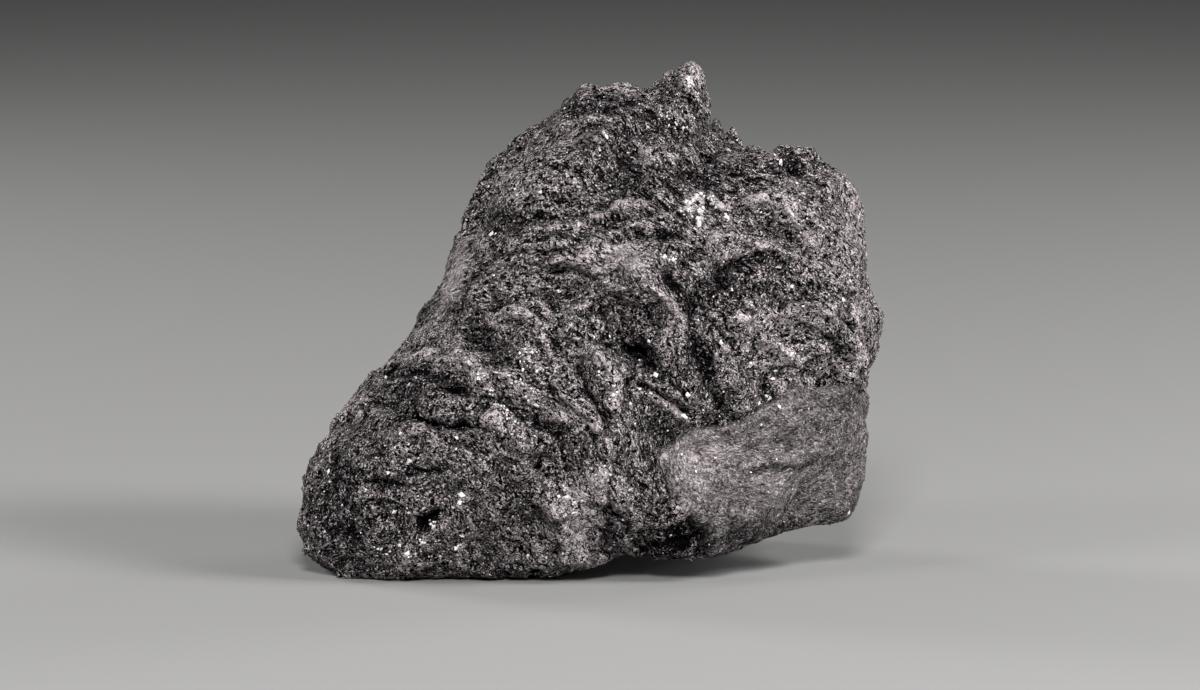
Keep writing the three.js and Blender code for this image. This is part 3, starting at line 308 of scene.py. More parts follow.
# lighter (+) and darker (-) lines of the front: amount, width or widths, the run
# and painted shade along creases, crevices and undercuts
# besides the stone's own pale and dark lines, many are painted highlight along crests and ridges
TONE_RUNS = [
    # the crown and its horn
    ("left of the flake", -0.05, 0.3, [(33.3, 42.6), (33.5, 41.5), (34.2, 40.6)]),
    ("dash behind the arch", -0.16, 0.3, [(40.3, 41.8), (42.4, 42.1)]),
    ("rim left of the horn", 0.15, 0.3, [(31.2, 49), (33, 48.8), (35, 48.2)]),
    ("dash under the horn", -0.25, 0.35, [(34.5, 46.1), (36.6, 45.9)]),
    ("foot of the horn", 0.14, 0.35, [(36.2, 46.9), (37.3, 45.5)]),
    ("knob's black line", -0.25, 0.4, [(29.9, 46.6), (31.6, 47), (33.2, 47.7)]),
    # the upper left block and the blade
    ("dark line of the block", -0.22, 0.3, [(19, 34.6), (22.2, 34.6)]),
    ("line along the left edge", 0.12, 0.25, [(17.2, 36.3), (18.6, 39), (20.6, 40.5)]),
    ("band across the upper left block", -0.09, (0.5, 0.45), [
        (17.4, 36.4), (20.5, 36.2), (22.5, 36.3), (25.6, 36),
    ]),
    ("lines left of the swelling", -0.12, 0.3, [(19.2, 32.3), (21.4, 32.5), (22.4, 33.1), (24, 33.4)]),
    ("lower line left of the swelling", -0.16, 0.25, [(24.4, 31.8), (26, 31.8)]),
    ("blade's outer strip", -0.04, 0.3, [(12.4, 26.8), (13.2, 28), (14, 29.6)]),
    # the arch, the shoulder and the right edge
    ("arch", 0.34, 0.2, [(38.3, 37), (39.4, 37.8), (40.6, 38.5), (41.6, 38), (42.4, 37.1)]),
    ("arch's flank", 0.08, 0.4, [(38.8, 37.1), (39.8, 37.2)]),
    ("inner ridge of the arch", 0.36, 0.25, [(40.4, 37.3), (40.4, 36.4), (40.7, 35.7)]),
    ("right of the arch", 0.26, 0.25, [(43.1, 37.2), (43.3, 36.3)]),
    ("shoulder's arc", 0.12, 0.6, [
        (44.6, 37.8), (46.5, 38), (48.5, 37.2), (49.5, 36), (50.3, 34.3), (50.8, 32.8), (52, 31.5),
        (53, 30.2),
    ]),
    ("lens under the band", -0.2, 0.4, [(35.8, 33.9), (37, 34.4), (38, 34.9)]),
    # the swelling, the nose and the hole
    ("crest of the long ledge", 0.12, (0.3, 0.4), [
        (27.5, 35.2), (30, 36.4), (31.7, 37.3), (34.5, 37.3), (36.5, 38.2),
    ]),
    ("streak under it", 0.12, 0.3, [(31.2, 34.4), (33, 34.6), (34.5, 35.4), (36, 36.2)]),
    ("crest of the swelling", 0.12, 0.4, [(28, 31.8), (29.8, 32.8), (31.5, 33.2), (33.4, 33.2)]),
    ("dash right of the swelling", 0.2, 0.3, [(36.6, 32.4), (38, 32.4)]),
    ("nose crest", 0.18, 0.45, [
        (35.3, 28.9), (36.5, 28.2), (37.4, 27.4), (38.2, 26.5), (38.4, 25.3), (38.5, 24),
    ]),
    ("nose's inner leg", 0.2, 0.4, [(37.4, 25), (36.6, 24), (36.2, 23)]),
    ("crease over the nose", -0.26, 0.35, [
        (36.3, 29.4), (37.4, 29.7), (38.2, 28.8), (38.6, 27.8), (39, 26.7), (39.2, 25.8),
    ]),
    ("dash under the ledge", -0.2, 0.3, [(31.6, 35.6), (33.4, 36)]),
    ("crown's foot", -0.16, 0.5, [(31.2, 39.8), (33, 38.6), (34.8, 38)]),
    ("bulge lip", 0.12, 0.3, [(25.5, 31.5), (27, 31.9), (28.4, 31.6), (29.3, 30.8), (29.9, 30.1)]),
    ("ridge of the crown's foot", 0.2, (0.22, 0.3), [
        (25, 34.8), (27.5, 35.1), (29.5, 35.9), (31, 36.7), (32.2, 37.3),
    ]),
    ("line over that ridge", -0.2, (0.3, 0.2), [(28.8, 36.1), (30, 36.8), (31.6, 37.6)]),
    ("band right of that ridge", 0.12, (0.5, 0.4), [(32.4, 37.4), (34.5, 37.6), (36, 37.8)]),
    ("band under that ridge", -0.1, (0.6, 0.5), [(26.5, 34.2), (28.5, 34.4), (30.5, 34.9)]),
    ("spots right of the left bulge", -0.22, 0.35, [(25.3, 28), (27.1, 28.4)]),
    ("pale streak over the pocket", 0.16, (0.22, 0.3), [(29.5, 29), (29.3, 27.6), (28.8, 26.6)]),
    ("shade right of that streak", -0.12, 0.5, [(30.4, 27.8), (29.8, 26.6), (31.4, 26.8)]),
    # the right plane and its crests
    ("slope under the arch", 0.12, (0.6, 0.5), [
        (40.5, 34.8), (42, 34.3), (44, 33.8), (46, 33.2), (48, 32.8), (49, 31.9),
    ]),
    ("right crest", 0.14, 0.5, [(44.4, 25.9), (45.7, 25.7), (47.2, 25.8), (49, 26.4)]),
    ("far right crest", 0.08, 0.5, [(50.4, 26.8), (52, 26.3), (53.6, 26.6)]),
    ("bright rib", 0.16, 0.5, [(46.8, 23.3), (48.2, 22.5), (49.4, 22), (50.2, 20.8)]),
    ("rib right of the valley", 0.08, 0.4, [(45.3, 24.3), (44, 23), (42.4, 22.4)]),
    ("edge arc", 0.14, 0.3, [(55.5, 27.4), (56.2, 26), (56, 24.2), (56.5, 22)]),
    ("edge bump's arc", 0.12, 0.3, [(57, 28.4), (57.4, 26.4)]),
    ("nose valley", -0.2, (0.7, 0.6), [(39, 24.6), (39.8, 23), (40.5, 21.6), (41.5, 20.4)]),
    ("light strip of the right edge", 0.16, 0.3, [(55.3, 24.2), (55.8, 23), (56.3, 21.6), (56.8, 20.2)]),
    ("spot below the shoulder", -0.2, 0.35, [(49.2, 33.2), (49.7, 32.3)]),
    ("crevice", -0.26, 0.4, [(43.6, 31.1), (45, 30.9), (45.9, 31.7), (47.2, 32), (48.5, 31.5), (49.3, 31)]),
    ("right hollow", -0.12, 0.7, [(41.2, 27.8), (42, 29.3), (42.8, 29.8)]),
    ("dash by the valley", -0.16, 0.25, [(41.2, 25.1), (42.6, 24.7)]),
    ("far right spots", -0.14, 0.35, [(53, 24.1), (54, 23.9), (54.8, 21.6)]),
    ("rib over the valley", 0.18, (0.25, 0.3), [
        (38.6, 25.7), (40, 25.2), (41.2, 24.2), (41.8, 22.8), (42, 21.6),
    ]),
    # the lobe
    ("lobe ridge", 0.12, 0.35, [
        (16.8, 21.4), (17.6, 20.4), (18.3, 19), (18.9, 17.6), (19.5, 16.4), (20.8, 15.3), (21.9, 14.6),
    ]),
    ("line to the lobe ridge", 0.1, 0.25, [(13.6, 21.9), (15.5, 21.6), (16.8, 20.6)]),
    ("line on the lobe", 0.1, 0.25, [(11.8, 15.2), (13.3, 14.3), (14.2, 12.8), (15, 11.5), (15.6, 10.8)]),
    ("strip of the lobe's edge", 0.1, 0.5, [(5.4, 18), (4.3, 16.6), (3, 13), (1.4, 9)]),
    ("lobe crack", -0.3, 0.3, [
        (11.8, 15.9), (13, 15.6), (14.5, 15.4), (15.8, 15.1), (16.6, 15.3), (18.6, 15.7),
    ]),
    ("lobe slot", -0.26, 0.3, [(14.8, 18.4), (16.4, 18.3)]),
    ("streaks over the slot", -0.22, 0.3, [(9, 20.2), (12.3, 20.1), (13.4, 19.5), (15.6, 19.4)]),
    ("short streaks", -0.16, 0.3, [(7.4, 18.9), (9.6, 18.8), (12.4, 18.6)]),
    ("left streak", -0.18, 0.3, [(4, 11), (6.8, 10.7)]),
    ("lower left streak", -0.18, 0.3, [(4.2, 9.7), (6.2, 9.8)]),
    ("middle streak", -0.18, 0.4, [(11.5, 11), (14.6, 10.9)]),
    ("arcs of the lobe", -0.14, 0.2, [(6.3, 15.6), (7.3, 17.2), (8.8, 18), (10.4, 17.6)]),
    ("outer arc of the lobe", 0.1, 0.25, [(5.6, 15.8), (6.6, 17.8), (8.4, 19.2), (10.2, 19.6)]),
    ("slits over the lobe", -0.2, 0.22, [(8.4, 20.8), (10.4, 21), (12.4, 20.5)]),
    ("blade's border", -0.22, (0.45, 0.12), [
        (17.6, 32.6), (17.5, 31), (17.1, 29.4), (16.9, 28), (16, 26.9), (14.8, 26.3),
    ]),
    ("blade's dashes", -0.16, 0.25, [(17.6, 28.2), (18.7, 27.6)]),
    ("dash under the blade", -0.2, 0.25, [(16.2, 25.2), (17.3, 25.4)]),
    ("slit by the left edge", -0.25, 0.25, [(12.9, 23), (14.4, 23.4)]),
    ("ridge under that slit", 0.14, 0.25, [(12.4, 22.4), (14.5, 22.2), (16.2, 21.4), (17.4, 21.1)]),
    # the ridges
    ("second ridge", 0.24, 0.45, [(19.6, 20.3), (21.4, 20.5), (22.2, 19.2), (23.2, 18.6), (23.6, 17.6)]),
    ("left bulge", 0.12, 0.5, [(22.9, 25.9), (22.6, 24), (23, 22.4), (24, 21.4)]),
    ("side rib", 0.26, 0.4, [(26.1, 18), (26.8, 16.2), (27.6, 15.1), (28.8, 14.8)]),
    ("long ridge's upper end", 0.12, 0.5, [(27.6, 22.9), (29.6, 22), (31.2, 20.6)]),
    ("thin rib", 0.14, 0.3, [(35.7, 19.6), (37, 19), (38.2, 18.2), (39.2, 17.5)]),
    ("lower thin rib", 0.14, 0.25, [(35.6, 17.8), (36.7, 17.2), (38.4, 15.9)]),
    ("valley of the ridges", -0.26, (0.5, 0.45), [(19.6, 18.2), (21, 17.2), (22.4, 15.9)]),
    ("dash of the second ridge", -0.44, 0.25, [(22.1, 19.9), (23.4, 19.5)]),
    ("beside the side rib", -0.3, 0.27, [(25.5, 19.3), (26.5, 18.1), (27.6, 17), (28.9, 15.7)]),
    ("band to the foot", -0.14, (0.8, 0.7), [(24, 14.8), (26.4, 13.8), (28.2, 12.2), (28.6, 11)]),
    ("pits of the bulge", -0.16, 0.4, [(26, 25.2), (25.8, 23.4)]),
    ("side groove", -0.24, (0.6, 0.45), [(28.9, 20.2), (29.3, 18.6), (29.9, 17), (30.4, 15.4)]),
    ("line left of the side rib", -0.28, 0.22, [(24.6, 18.1), (26, 16.8)]),
    ("thin side rib", 0.14, 0.22, [(27.3, 18), (28.5, 16.5), (29.3, 15.1)]),
    ("long ridge's shoulder", 0.2, 0.35, [(29, 21.4), (30.1, 20.4), (31.3, 20), (32, 19), (32.4, 17.6)]),
    ("lower pits of the bulge", -0.14, 0.35, [(26.1, 25.6), (25.5, 23.6)]),
    ("line over the long ridge", -0.22, (0.3, 0.2), [(28.3, 24.4), (29.6, 23.8), (31.4, 23.1)]),
    ("crest under that line", 0.14, (0.2, 0.35), [(27.6, 23.9), (29.2, 23), (30.6, 22)]),
    # the bottom bulge, the foot and the lower block
    ("foot's line", 0.14, (0.25, 0.3), [(25.9, 4.3), (25.7, 1.3)]),
    ("stripe to the foot", 0.12, 0.5, [(28.2, 6.4), (27.5, 4.2)]),
    ("left of the face", -0.14, (0.8, 0.2), [(37.6, 5.6), (37.1, 7.3), (37.3, 9.6), (36, 11.8)]),
    ("line right of the lobe", -0.14, 0.3, [(20.3, 6.7), (22.4, 5.8)]),
    ("edge of the lower block", -0.16, (0.12, 0.8), [(30.7, 2.4), (30.9, 5), (31.1, 7.2)]),
    ("its lit side", 0.08, (0.5, 0.12), [(30.3, 2.6), (30.5, 5), (30.8, 8)]),
    ("diagonal of the lower block", -0.14, 0.35, [(31.4, 3.2), (32.4, 4.6), (33.4, 5.9)]),
    ("stripe of the lower block", 0.12, 0.4, [(32.6, 2.6), (33.2, 4), (34.4, 5.2), (34.8, 7)]),
    ("line above the block", -0.2, 0.22, [(33.7, 10.8), (34.3, 9.8), (34.9, 8.8)]),
    ("nick of the face", -0.22, 0.2, [(37.2, 7.5), (38.1, 7.9)]),
    ("shadow under the block", -0.36, (0.2, 1.4), [
        (34.4, 2.4), (35.7, 2.9), (36.6, 3.8), (37.8, 4.8), (38.6, 5.5),
    ]),
    # the smooth face
    ("crack of the face", -0.12, 0.3, [(45.8, 10.2), (47.8, 11), (50, 10.9), (53, 11.5)]),
]
# lighter (+) and darker (-) places of the front: u, v, half width, half height, turn, amount
# and painted highlight on crests and lit faces
# besides the stone's own pale and dark patches, many are painted shade in hollows, notches and along the foot
PAINTED_LIGHT_AND_STAINS = [
    # the crown and its horn
    ("plane of the crown", 26.9, 43.6, 2.4, 1.5, 8, 0.14), ("crown hollow", 32.3, 40.8, 2, 2.8, 0, -0.1),
    ("knob pockets", 28.3, 47.2, 1.4, 0.8, 0, -0.16), ("knob's black pocket", 30.6, 48.2, 0.5, 0.4, 0, -0.3),
    ("bright spot by the horn", 35.3, 48.3, 0.6, 0.4, 0, 0.2),
    ("left of the flake", 33, 41.4, 0.8, 0.6, 0, -0.03), ("horn's tip", 39.6, 50.3, 0.9, 0.8, -30, 0.3),
    ("horn's core", 38.6, 47.6, 0.7, 1.3, 10, -0.08), ("pale flake", 34.8, 41.5, 0.6, 1.1, 20, 0.6),
    ("right of the flake", 37.4, 44.4, 1.3, 1.8, 0, 0.12), ("by the flake", 37, 42.2, 0.5, 0.8, 30, 0.28),
    ("blob of the crown", 30.7, 44.7, 0.4, 0.4, 0, 0.22),
    ("band left of the arch", 37.6, 39.4, 3.6, 0.9, 0, -0.14),
    ("crown's right edge", 50.5, 43.4, 5, 1.2, -8, -0.1),
    ("upper left edge", 20.2, 42.4, 2.6, 0.9, 32, -0.1), ("around the cavity", 49, 41.2, 1.8, 1, 0, -0.14),
    ("whole crown", 33, 45, 12, 5, 0, -0.09), ("under the crown's plane", 29.6, 42.4, 1.4, 1.3, 0, -0.14),
    ("left of the horn", 33.8, 46.9, 1.4, 0.8, 0, -0.09),
    ("at the crown's right", 53.2, 41.4, 1.6, 0.8, -25, -0.09),
    # the upper left block and the blade
    ("dark blob of the block", 26.2, 38.1, 0.8, 0.5, 0, -0.25),
    ("notch of the edge", 19.3, 40.3, 0.5, 0.35, 0, -0.4),
    ("black spot of the edge", 17.6, 38.2, 0.5, 0.6, 0, -0.3),
    ("upper left block", 22.5, 38.6, 2.2, 1.6, 10, 0.2),
    ("dark band under it", 21.5, 35.4, 3.2, 0.8, -4, -0.14),
    ("above the left folds", 25, 33.6, 4.2, 0.7, 2, -0.08),
    ("dark left edge", 17.9, 38.6, 0.8, 2, -12, -0.22), ("left blade", 15.7, 30.1, 1.1, 4, -22, 0.32),
    ("by the blade", 17.6, 33, 0.8, 1.6, 0, 0.08),
    ("dark blob over the block", 26.4, 39.6, 0.8, 0.7, 0, -0.14),
    # the arch, the shoulder and the right edge
    ("band behind the arch", 43.5, 40.4, 4.2, 1.3, 0, -0.12), ("cavity", 49.3, 40.7, 0.9, 0.7, -10, -0.6),
    ("right edge facet", 55.2, 36.6, 1.3, 4.2, 5, 0.17), ("arch flank", 39.2, 37.1, 1, 0.6, 20, 0.2),
    ("arch hole", 41.3, 37.2, 0.5, 0.4, 0, -0.35), ("under the arch flank", 38, 35.2, 2.2, 0.8, 0, -0.06),
    ("shoulder", 47, 36.8, 3.6, 1.8, 0, 0.06), ("shoulder's spot", 49.3, 36, 0.6, 0.8, -40, 0.16),
    ("mound", 42, 34, 2, 1, -10, 0.08), ("black lens", 37, 34.3, 1.3, 0.6, 0, -0.1),
    ("under the shoulder", 45.6, 34.6, 2, 1, 0, -0.12), ("right of the arch", 42.4, 38.2, 1.2, 0.7, 0, -0.1),
    ("beside the shoulder", 46.2, 34.8, 1.6, 0.9, 0, -0.09), ("over the arch", 41.2, 39, 2.2, 0.7, 0, -0.1),
    ("beside the arch", 37.4, 38.4, 0.9, 0.8, 0, -0.1),
    # the swelling, the nose and the hole
    ("slope under the long ledge", 28.5, 34.7, 4.2, 0.9, 18, -0.12),
    ("central swelling", 32.2, 31.8, 3.2, 1.6, -8, 0.26), ("pocket", 34.2, 25.8, 2.2, 1.8, 0, -0.1),
    ("deep hole", 34, 22.7, 1.8, 1.2, -28, -0.42), ("inside the nose arch", 35.8, 26.2, 0.8, 1, 20, -0.06),
    ("nose", 36.6, 27.8, 0.8, 0.8, 35, 0.06), ("tip of the nose", 36.1, 27.7, 0.9, 0.8, 0, 0.1),
    ("over the left bulge", 21, 26.2, 1.4, 1, 0, 0.07),
    ("under the swelling", 28.3, 26.5, 1.5, 1.2, 0, -0.07),
    ("inside the nose", 35.8, 27.4, 0.8, 0.7, 0, 0.1), ("left of the mound", 37.2, 31, 0.8, 0.6, 0, -0.1),
    # the right plane and its crests
    ("black crevice", 45.6, 31.4, 1.6, 0.7, 20, -0.16), ("nose valley", 40.1, 21.4, 1.2, 3, 18, -0.16),
    ("right hollow", 41, 29, 2.4, 1.6, 10, -0.14), ("below the right hollow", 41, 26.2, 2.2, 1.4, 0, -0.08),
    ("right mound", 45.8, 29.2, 2.2, 1.2, 0, -0.08), ("right crest", 46.5, 25.8, 2.4, 0.8, 0, 0.12),
    ("right plane", 48.2, 23.4, 3.4, 2.2, -20, 0.14), ("under the right plane", 52.5, 20.4, 3, 0.9, 0, 0.14),
    ("bright rib", 49.1, 22.3, 0.8, 0.5, -35, 0.06), ("right valley", 54, 22.8, 0.6, 1.4, 35, -0.12),
    ("slit far right", 52.8, 24.4, 1.2, 0.4, -15, -0.16), ("edge bump", 57, 27, 1.1, 3.4, 0, 0.08),
    ("far right", 52, 25.5, 1.6, 1, 0, 0.14), ("under the mound", 42, 31.6, 2.4, 1, 25, 0.12),
    ("foot of the right plane", 48, 22.6, 1.8, 0.9, -20, 0.08),
    ("right of the valley", 43, 20, 1.4, 1, 0, -0.08),
    ("under the bright rib", 48.2, 21.8, 2, 0.8, -38, 0.12),
    ("over the bright rib", 49.9, 24.4, 1.2, 0.8, 0, -0.09),
    ("over the far right crest", 52.2, 28.4, 1.7, 1, 0, -0.12),
    ("light step under the right plane", 52.8, 20.2, 1.8, 0.7, 0, 0.18),
    ("left of the crevice", 43, 31, 1, 0.6, 20, 0.1), ("over the face's edge", 52.4, 19.5, 0.9, 0.5, 0, 0.2),
    ("left of the edge bump", 53, 28.6, 1.2, 0.7, 0, -0.08),
    # the lobe
    ("hollow above the lobe", 18.9, 23.3, 1.8, 1.2, -40, -0.22),
    ("lobe crack", 14.2, 15.5, 2.5, 0.5, -6, -0.14), ("lobe slot", 14.6, 18.9, 1.8, 0.7, -10, -0.1),
    ("top of the lobe", 12.8, 17.6, 5, 2.8, -5, -0.12),
    ("beside the lobe ridge", 16.8, 16.6, 1.4, 1.4, 0, -0.1), ("lobe", 8.5, 9, 7, 8, 0, -0.06),
    ("lobe's left", 2.8, 7, 2.4, 5.5, 10, -0.12), ("lobe foot", 4.5, 3.2, 3.8, 2.2, 0, -0.1),
    ("lobe pit", 13.8, 6.2, 1, 0.45, 25, -0.36), ("lobe pit foot", 12.5, 5.2, 0.5, 0.6, 0, -0.35),
    ("edge of the foot", 16, 0.2, 18, 0.9, 0, -0.16), ("beside the slot", 16.2, 20.2, 2.4, 0.9, -30, 0.1),
    ("spot of the lobe", 10.4, 12.2, 1.2, 1.4, 0, 0.12), ("at the lobe's foot", 8, 5, 2, 1.6, 0, -0.16),
    ("at the lobe's left", 5, 12, 1.6, 2.8, 0, -0.12),
    ("left of the lobe's middle", 7.9, 9.5, 1, 1.2, 0, -0.07),
    ("lobe's middle", 14.4, 12.2, 1.2, 0.8, 0, -0.07),
    ("right of the lobe's foot", 17.8, 3.4, 1.2, 0.9, 0, 0.08),
    # the ridges
    ("deep hole's tail", 35, 21.4, 0.9, 0.6, -50, -0.25),
    ("among the thin ribs", 38, 18.2, 3, 1.5, -35, -0.14),
    ("over the thin ribs", 37.3, 19.9, 1.2, 0.6, -20, -0.12),
    ("dark triangle", 35.2, 15.7, 2, 1.4, -25, -0.18),
    ("crest of the long ridge", 32, 18, 0.8, 1.1, 0, 0.04),
    ("long ridge's streak", 31.2, 13.2, 0.4, 0.9, 0, -0.12),
    ("band right of the ridges", 25.4, 15, 3.2, 0.9, -38, -0.08),
    ("under the ridges", 21, 13.2, 2.6, 1.4, -20, -0.08), ("pit", 24, 11.2, 0.45, 0.4, 0, -0.3),
    ("by the side ribs", 27.5, 15, 1, 2.4, 0, 0.12), ("between the ridges", 21, 18.2, 2.4, 0.9, -45, 0.1),
    ("by the thin ribs", 38, 18.6, 1.2, 0.7, -30, -0.1),
    ("top of the long ridge", 30.3, 21.1, 1.4, 0.8, -35, 0.09),
    ("under the second ridge", 22.4, 18.8, 1.4, 0.6, -45, 0.14),
    ("second ridge", 20.9, 20.3, 1.3, 0.5, 0, 0.14), ("side rib", 27, 16, 0.5, 1.4, 35, 0.1),
    ("by the side groove", 28.2, 15.2, 0.7, 1.4, 0, 0.09), ("side groove", 29, 17.9, 0.7, 1, 0, -0.12),
    ("by the hole", 33.3, 20, 1, 0.6, -30, 0.14), ("left of the face", 36.4, 12, 0.7, 0.9, 0, 0.1),
    ("under the lobe ridge", 20.2, 14.8, 0.9, 1.2, -40, -0.1),
    ("beside the long ridge", 30.4, 15, 0.5, 1, 0, -0.12),
    # the bottom bulge, the foot and the lower block
    ("bottom bulge", 27.8, 7.8, 1.6, 1.4, -10, 0.14), ("under the bulge", 28.6, 6, 2, 3.2, 0, 0.12),
    ("stripe to the foot", 28.5, 4.2, 1.1, 3, -10, 0.16), ("right of the bulge", 30.2, 8.4, 1, 1.8, 0, 0.1),
    ("foot of the lower block", 34.4, 3.8, 3.2, 1.6, 0, -0.12),
    ("crease of the lower block", 32.2, 5.5, 1.2, 2.4, 0, -0.06),
    ("lower block", 36, 6.2, 1.3, 0.9, 0, -0.14), ("lower block's middle", 35.6, 9.6, 1.8, 2, 0, -0.1),
    ("above the lower block", 32.6, 9.3, 1.4, 0.8, -10, 0.1), ("notch", 37.9, 3.5, 1.4, 1.3, 15, -0.4),
    ("by the bulge", 29.2, 8.2, 1.4, 1, 0, 0.12), ("left of the bulge", 26, 7.2, 0.9, 0.9, 0, 0.1),
    ("foot's light", 24.6, 2.2, 0.8, 1.4, 0, 0.1),
    # the smooth face
    ("under the nose valley", 42.7, 17.5, 0.9, 1.2, -20, -0.18),
    ("lens at the face's top", 40.8, 16.4, 0.6, 0.4, 0, -0.3), ("dark bar", 46.9, 18.2, 0.6, 0.9, 20, -0.24),
    ("smooth face", 48, 11.5, 10, 6, 0, 0.1), ("smooth face's right", 52, 12.5, 5.5, 6, 0, 0.08),
    ("smooth face's lower edge", 48.5, 4.6, 8, 1.3, 13, -0.16),
    ("pale face", 39.2, 12.4, 2.6, 2.2, 10, 0.22), ("pale face's foot", 39.8, 9, 1.8, 1.8, 0, 0.09),
    ("brown lens of the face", 43, 14.2, 1.6, 0.7, -15, -0.1),
    ("shade of the face", 50.6, 13.2, 2.8, 2.2, 0, -0.1), ("face's corner", 54.5, 7.2, 2.4, 1.2, 15, -0.08),
    ("face's top", 47.2, 16.4, 2.4, 1.3, 0, 0.09), ("light lens of the face", 42, 12.6, 2.6, 1, -15, 0.1),
    ("face's middle", 48, 11.4, 1.4, 0.7, 0, 0.08), ("over the notch", 39.6, 6.2, 0.9, 0.7, 0, 0.12),
    ("face's left top", 44.3, 16.4, 1, 0.5, 20, 0.1),
    ("lens's foot at the face", 41.4, 14.6, 1.2, 0.5, -15, -0.1),
]
# pale inclusions along runs: how many, jitter, size, the run
INCLUSION_RUNS = [
    ("white arch", 60, 0.07, 0.24, ARCH),
    ("arch's foot", 26, 0.12, 0.34, [(40.3, 37.2), (40.2, 36.4), (40.6, 35.6)]),
    ("arch's right foot", 8, 0.12, 0.26, [(43.1, 36.8), (43.3, 36)]),
    ("arch flank", 14, 0.28, 0.16, [(38.2, 36.7), (39.6, 37)]),
    ("row under the lens", 9, 0.15, 0.24, [(36.2, 32.4), (37.8, 32.3)]),
    ("crest of the long ridge", 22, 0.22, 0.22, [(30.2, 20.2), (31.4, 19.4), (32.4, 17.2)]),
    ("right crest", 14, 0.3, 0.18, [(44.2, 26), (47.2, 25.8)]),
    ("bright rib", 12, 0.25, 0.2, [(48.2, 23), (50, 21.6)]),
    ("rectangle's grains", 8, 0.2, 0.34, [(46.2, 17.4), (47, 17.2), (47.7, 19)]),
    ("second ridge", 24, 0.35, 0.2, [(19, 20.4), (22.3, 19.8), (24.6, 17.4)]),
    ("lobe ridge", 36, 0.25, 0.2, [(17.6, 20.6), (19, 17.8), (21.6, 15.1)]),
    ("left bulge", 20, 0.5, 0.2, [(22.6, 23.6), (23.4, 21.6)]),
    ("bottom bulge", 26, 0.45, 0.24, [(26.6, 8.2), (28.2, 7.2), (27.6, 5.2)]),
    ("lower ridge", 18, 0.4, 0.22, [(29.2, 9.6), (30.8, 10), (32.6, 9.4)]),
    ("lobe's foot", 26, 0.5, 0.22, [(8, 2.8), (12, 2.2), (16.5, 3.2)]),
    ("pit's grains", 10, 0.25, 0.3, [(11.4, 6.3), (13.6, 4.8), (14.4, 6)]),
    ("horn's tip", 20, 0.25, 0.22, [(39, 50.7), (40, 49.6)]),
    ("crown", 16, 0.5, 0.2, [(35.8, 46.8), (38.6, 45.4)]),
]
# single pale inclusions: u, v, size
INCLUSIONS = [
    (3.1, 10.3, 0.45), (3, 9.9, 0.35), (11.2, 11.7, 0.6), (11, 11.4, 0.4), (8.9, 10.4, 0.55),
    (8.5, 13.3, 0.3), (10, 13.2, 0.3), (10.2, 14.3, 0.35), (15.3, 13.9, 0.45), (9.8, 6.1, 0.5),
    (12.8, 5.6, 0.6), (13.6, 4.7, 0.5), (16.5, 7.8, 0.7), (16.6, 7, 0.55), (15.9, 6.6, 0.4),
    (8.7, 2.3, 0.45), (10.7, 2, 0.4), (16.5, 3.5, 0.45), (15.5, 2.5, 0.55), (8.2, 20.3, 0.4),
    (12.3, 12.1, 0.3), (7.3, 12.2, 0.28), (4.6, 7, 0.28), (6.8, 8.9, 0.26), (24.3, 17.1, 0.45),
    (22.9, 18.1, 0.35), (30.4, 20.2, 0.4), (33.5, 16.8, 0.4), (34.8, 18.5, 0.4), (36, 19.6, 0.42),
    (39.2, 17.7, 0.5), (38.6, 15.8, 0.7), (38.9, 15.6, 0.45), (35.6, 18, 0.3), (42, 22.2, 0.4),
    (31.8, 23.9, 0.35), (31.5, 24.1, 0.3), (34.5, 22.1, 0.3), (33.9, 21.3, 0.25), (35.3, 23.7, 0.28),
    (33.6, 28.3, 0.26), (45.3, 21.2, 0.4), (48, 20.1, 0.45), (47.6, 19.1, 0.38), (46.5, 17.2, 0.5),
    (48.6, 16.8, 0.4), (52.4, 20.3, 0.3), (54.9, 27.5, 0.45), (46.7, 25.8, 0.4), (49.4, 22.2, 0.5),
    (49.8, 29.6, 0.35), (46.6, 28.1, 0.32), (42.7, 23.5, 0.3), (50.2, 26.7, 0.28), (51.6, 25.7, 0.28),
    (30.7, 44.7, 0.5), (40.4, 46.8, 0.35), (38.4, 45.6, 0.35), (36.6, 46.5, 0.4), (34.4, 48.2, 0.28),
    (26.4, 47.6, 0.3), (29.9, 42.9, 0.26), (33, 42.9, 0.28), (49.4, 41.7, 0.5), (49.2, 41.2, 0.35),
    (51.1, 40.8, 0.35), (48.6, 43.1, 0.3), (46.4, 36.9, 0.28), (18.8, 35.1, 0.45), (20.9, 39.5, 0.32),
    (21.3, 38.7, 0.4), (23.8, 38.8, 0.4), (22.9, 37.2, 0.28), (22.4, 32.2, 0.4), (19.5, 30.6, 0.28),
    (25.9, 28.8, 0.26), (41.8, 28.4, 0.3), (43.8, 28.9, 0.32), (38.5, 9.9, 0.45), (38.8, 12.4, 0.3),
    (42.1, 11.5, 0.35), (47.8, 11.2, 0.28), (40.3, 10.4, 0.25), (27.6, 4.1, 0.4), (26.6, 2.3, 0.35),
    (23, 1.5, 0.35), (27.2, 7.6, 0.6), (28.1, 7.4, 0.4), (37.5, 3.9, 0.3), (29.4, 12.2, 0.28),
    (31.2, 10.2, 0.35), (23.6, 13.3, 0.25),
]


def unit(rows):
    """Each row divided by its length."""
    return rows / np.linalg.norm(rows, axis=-1, keepdims=True)


def ramp(low, high, value):
    """0 below low, 1 above high, an even S between them."""
    t = np.clip((value - low) / (high - low), 0, 1)
    return t * t * (3 - 2 * t)


def scatter(i, j, k, seed):
    """A repeatable number from 0 to 1 for each lattice place: the fraction of a large sine."""
    s = np.sin(i * 12.9898 + j * 78.233 + k * 37.719 + seed * 9.131) * 43758.5453
    return s - np.floor(s)


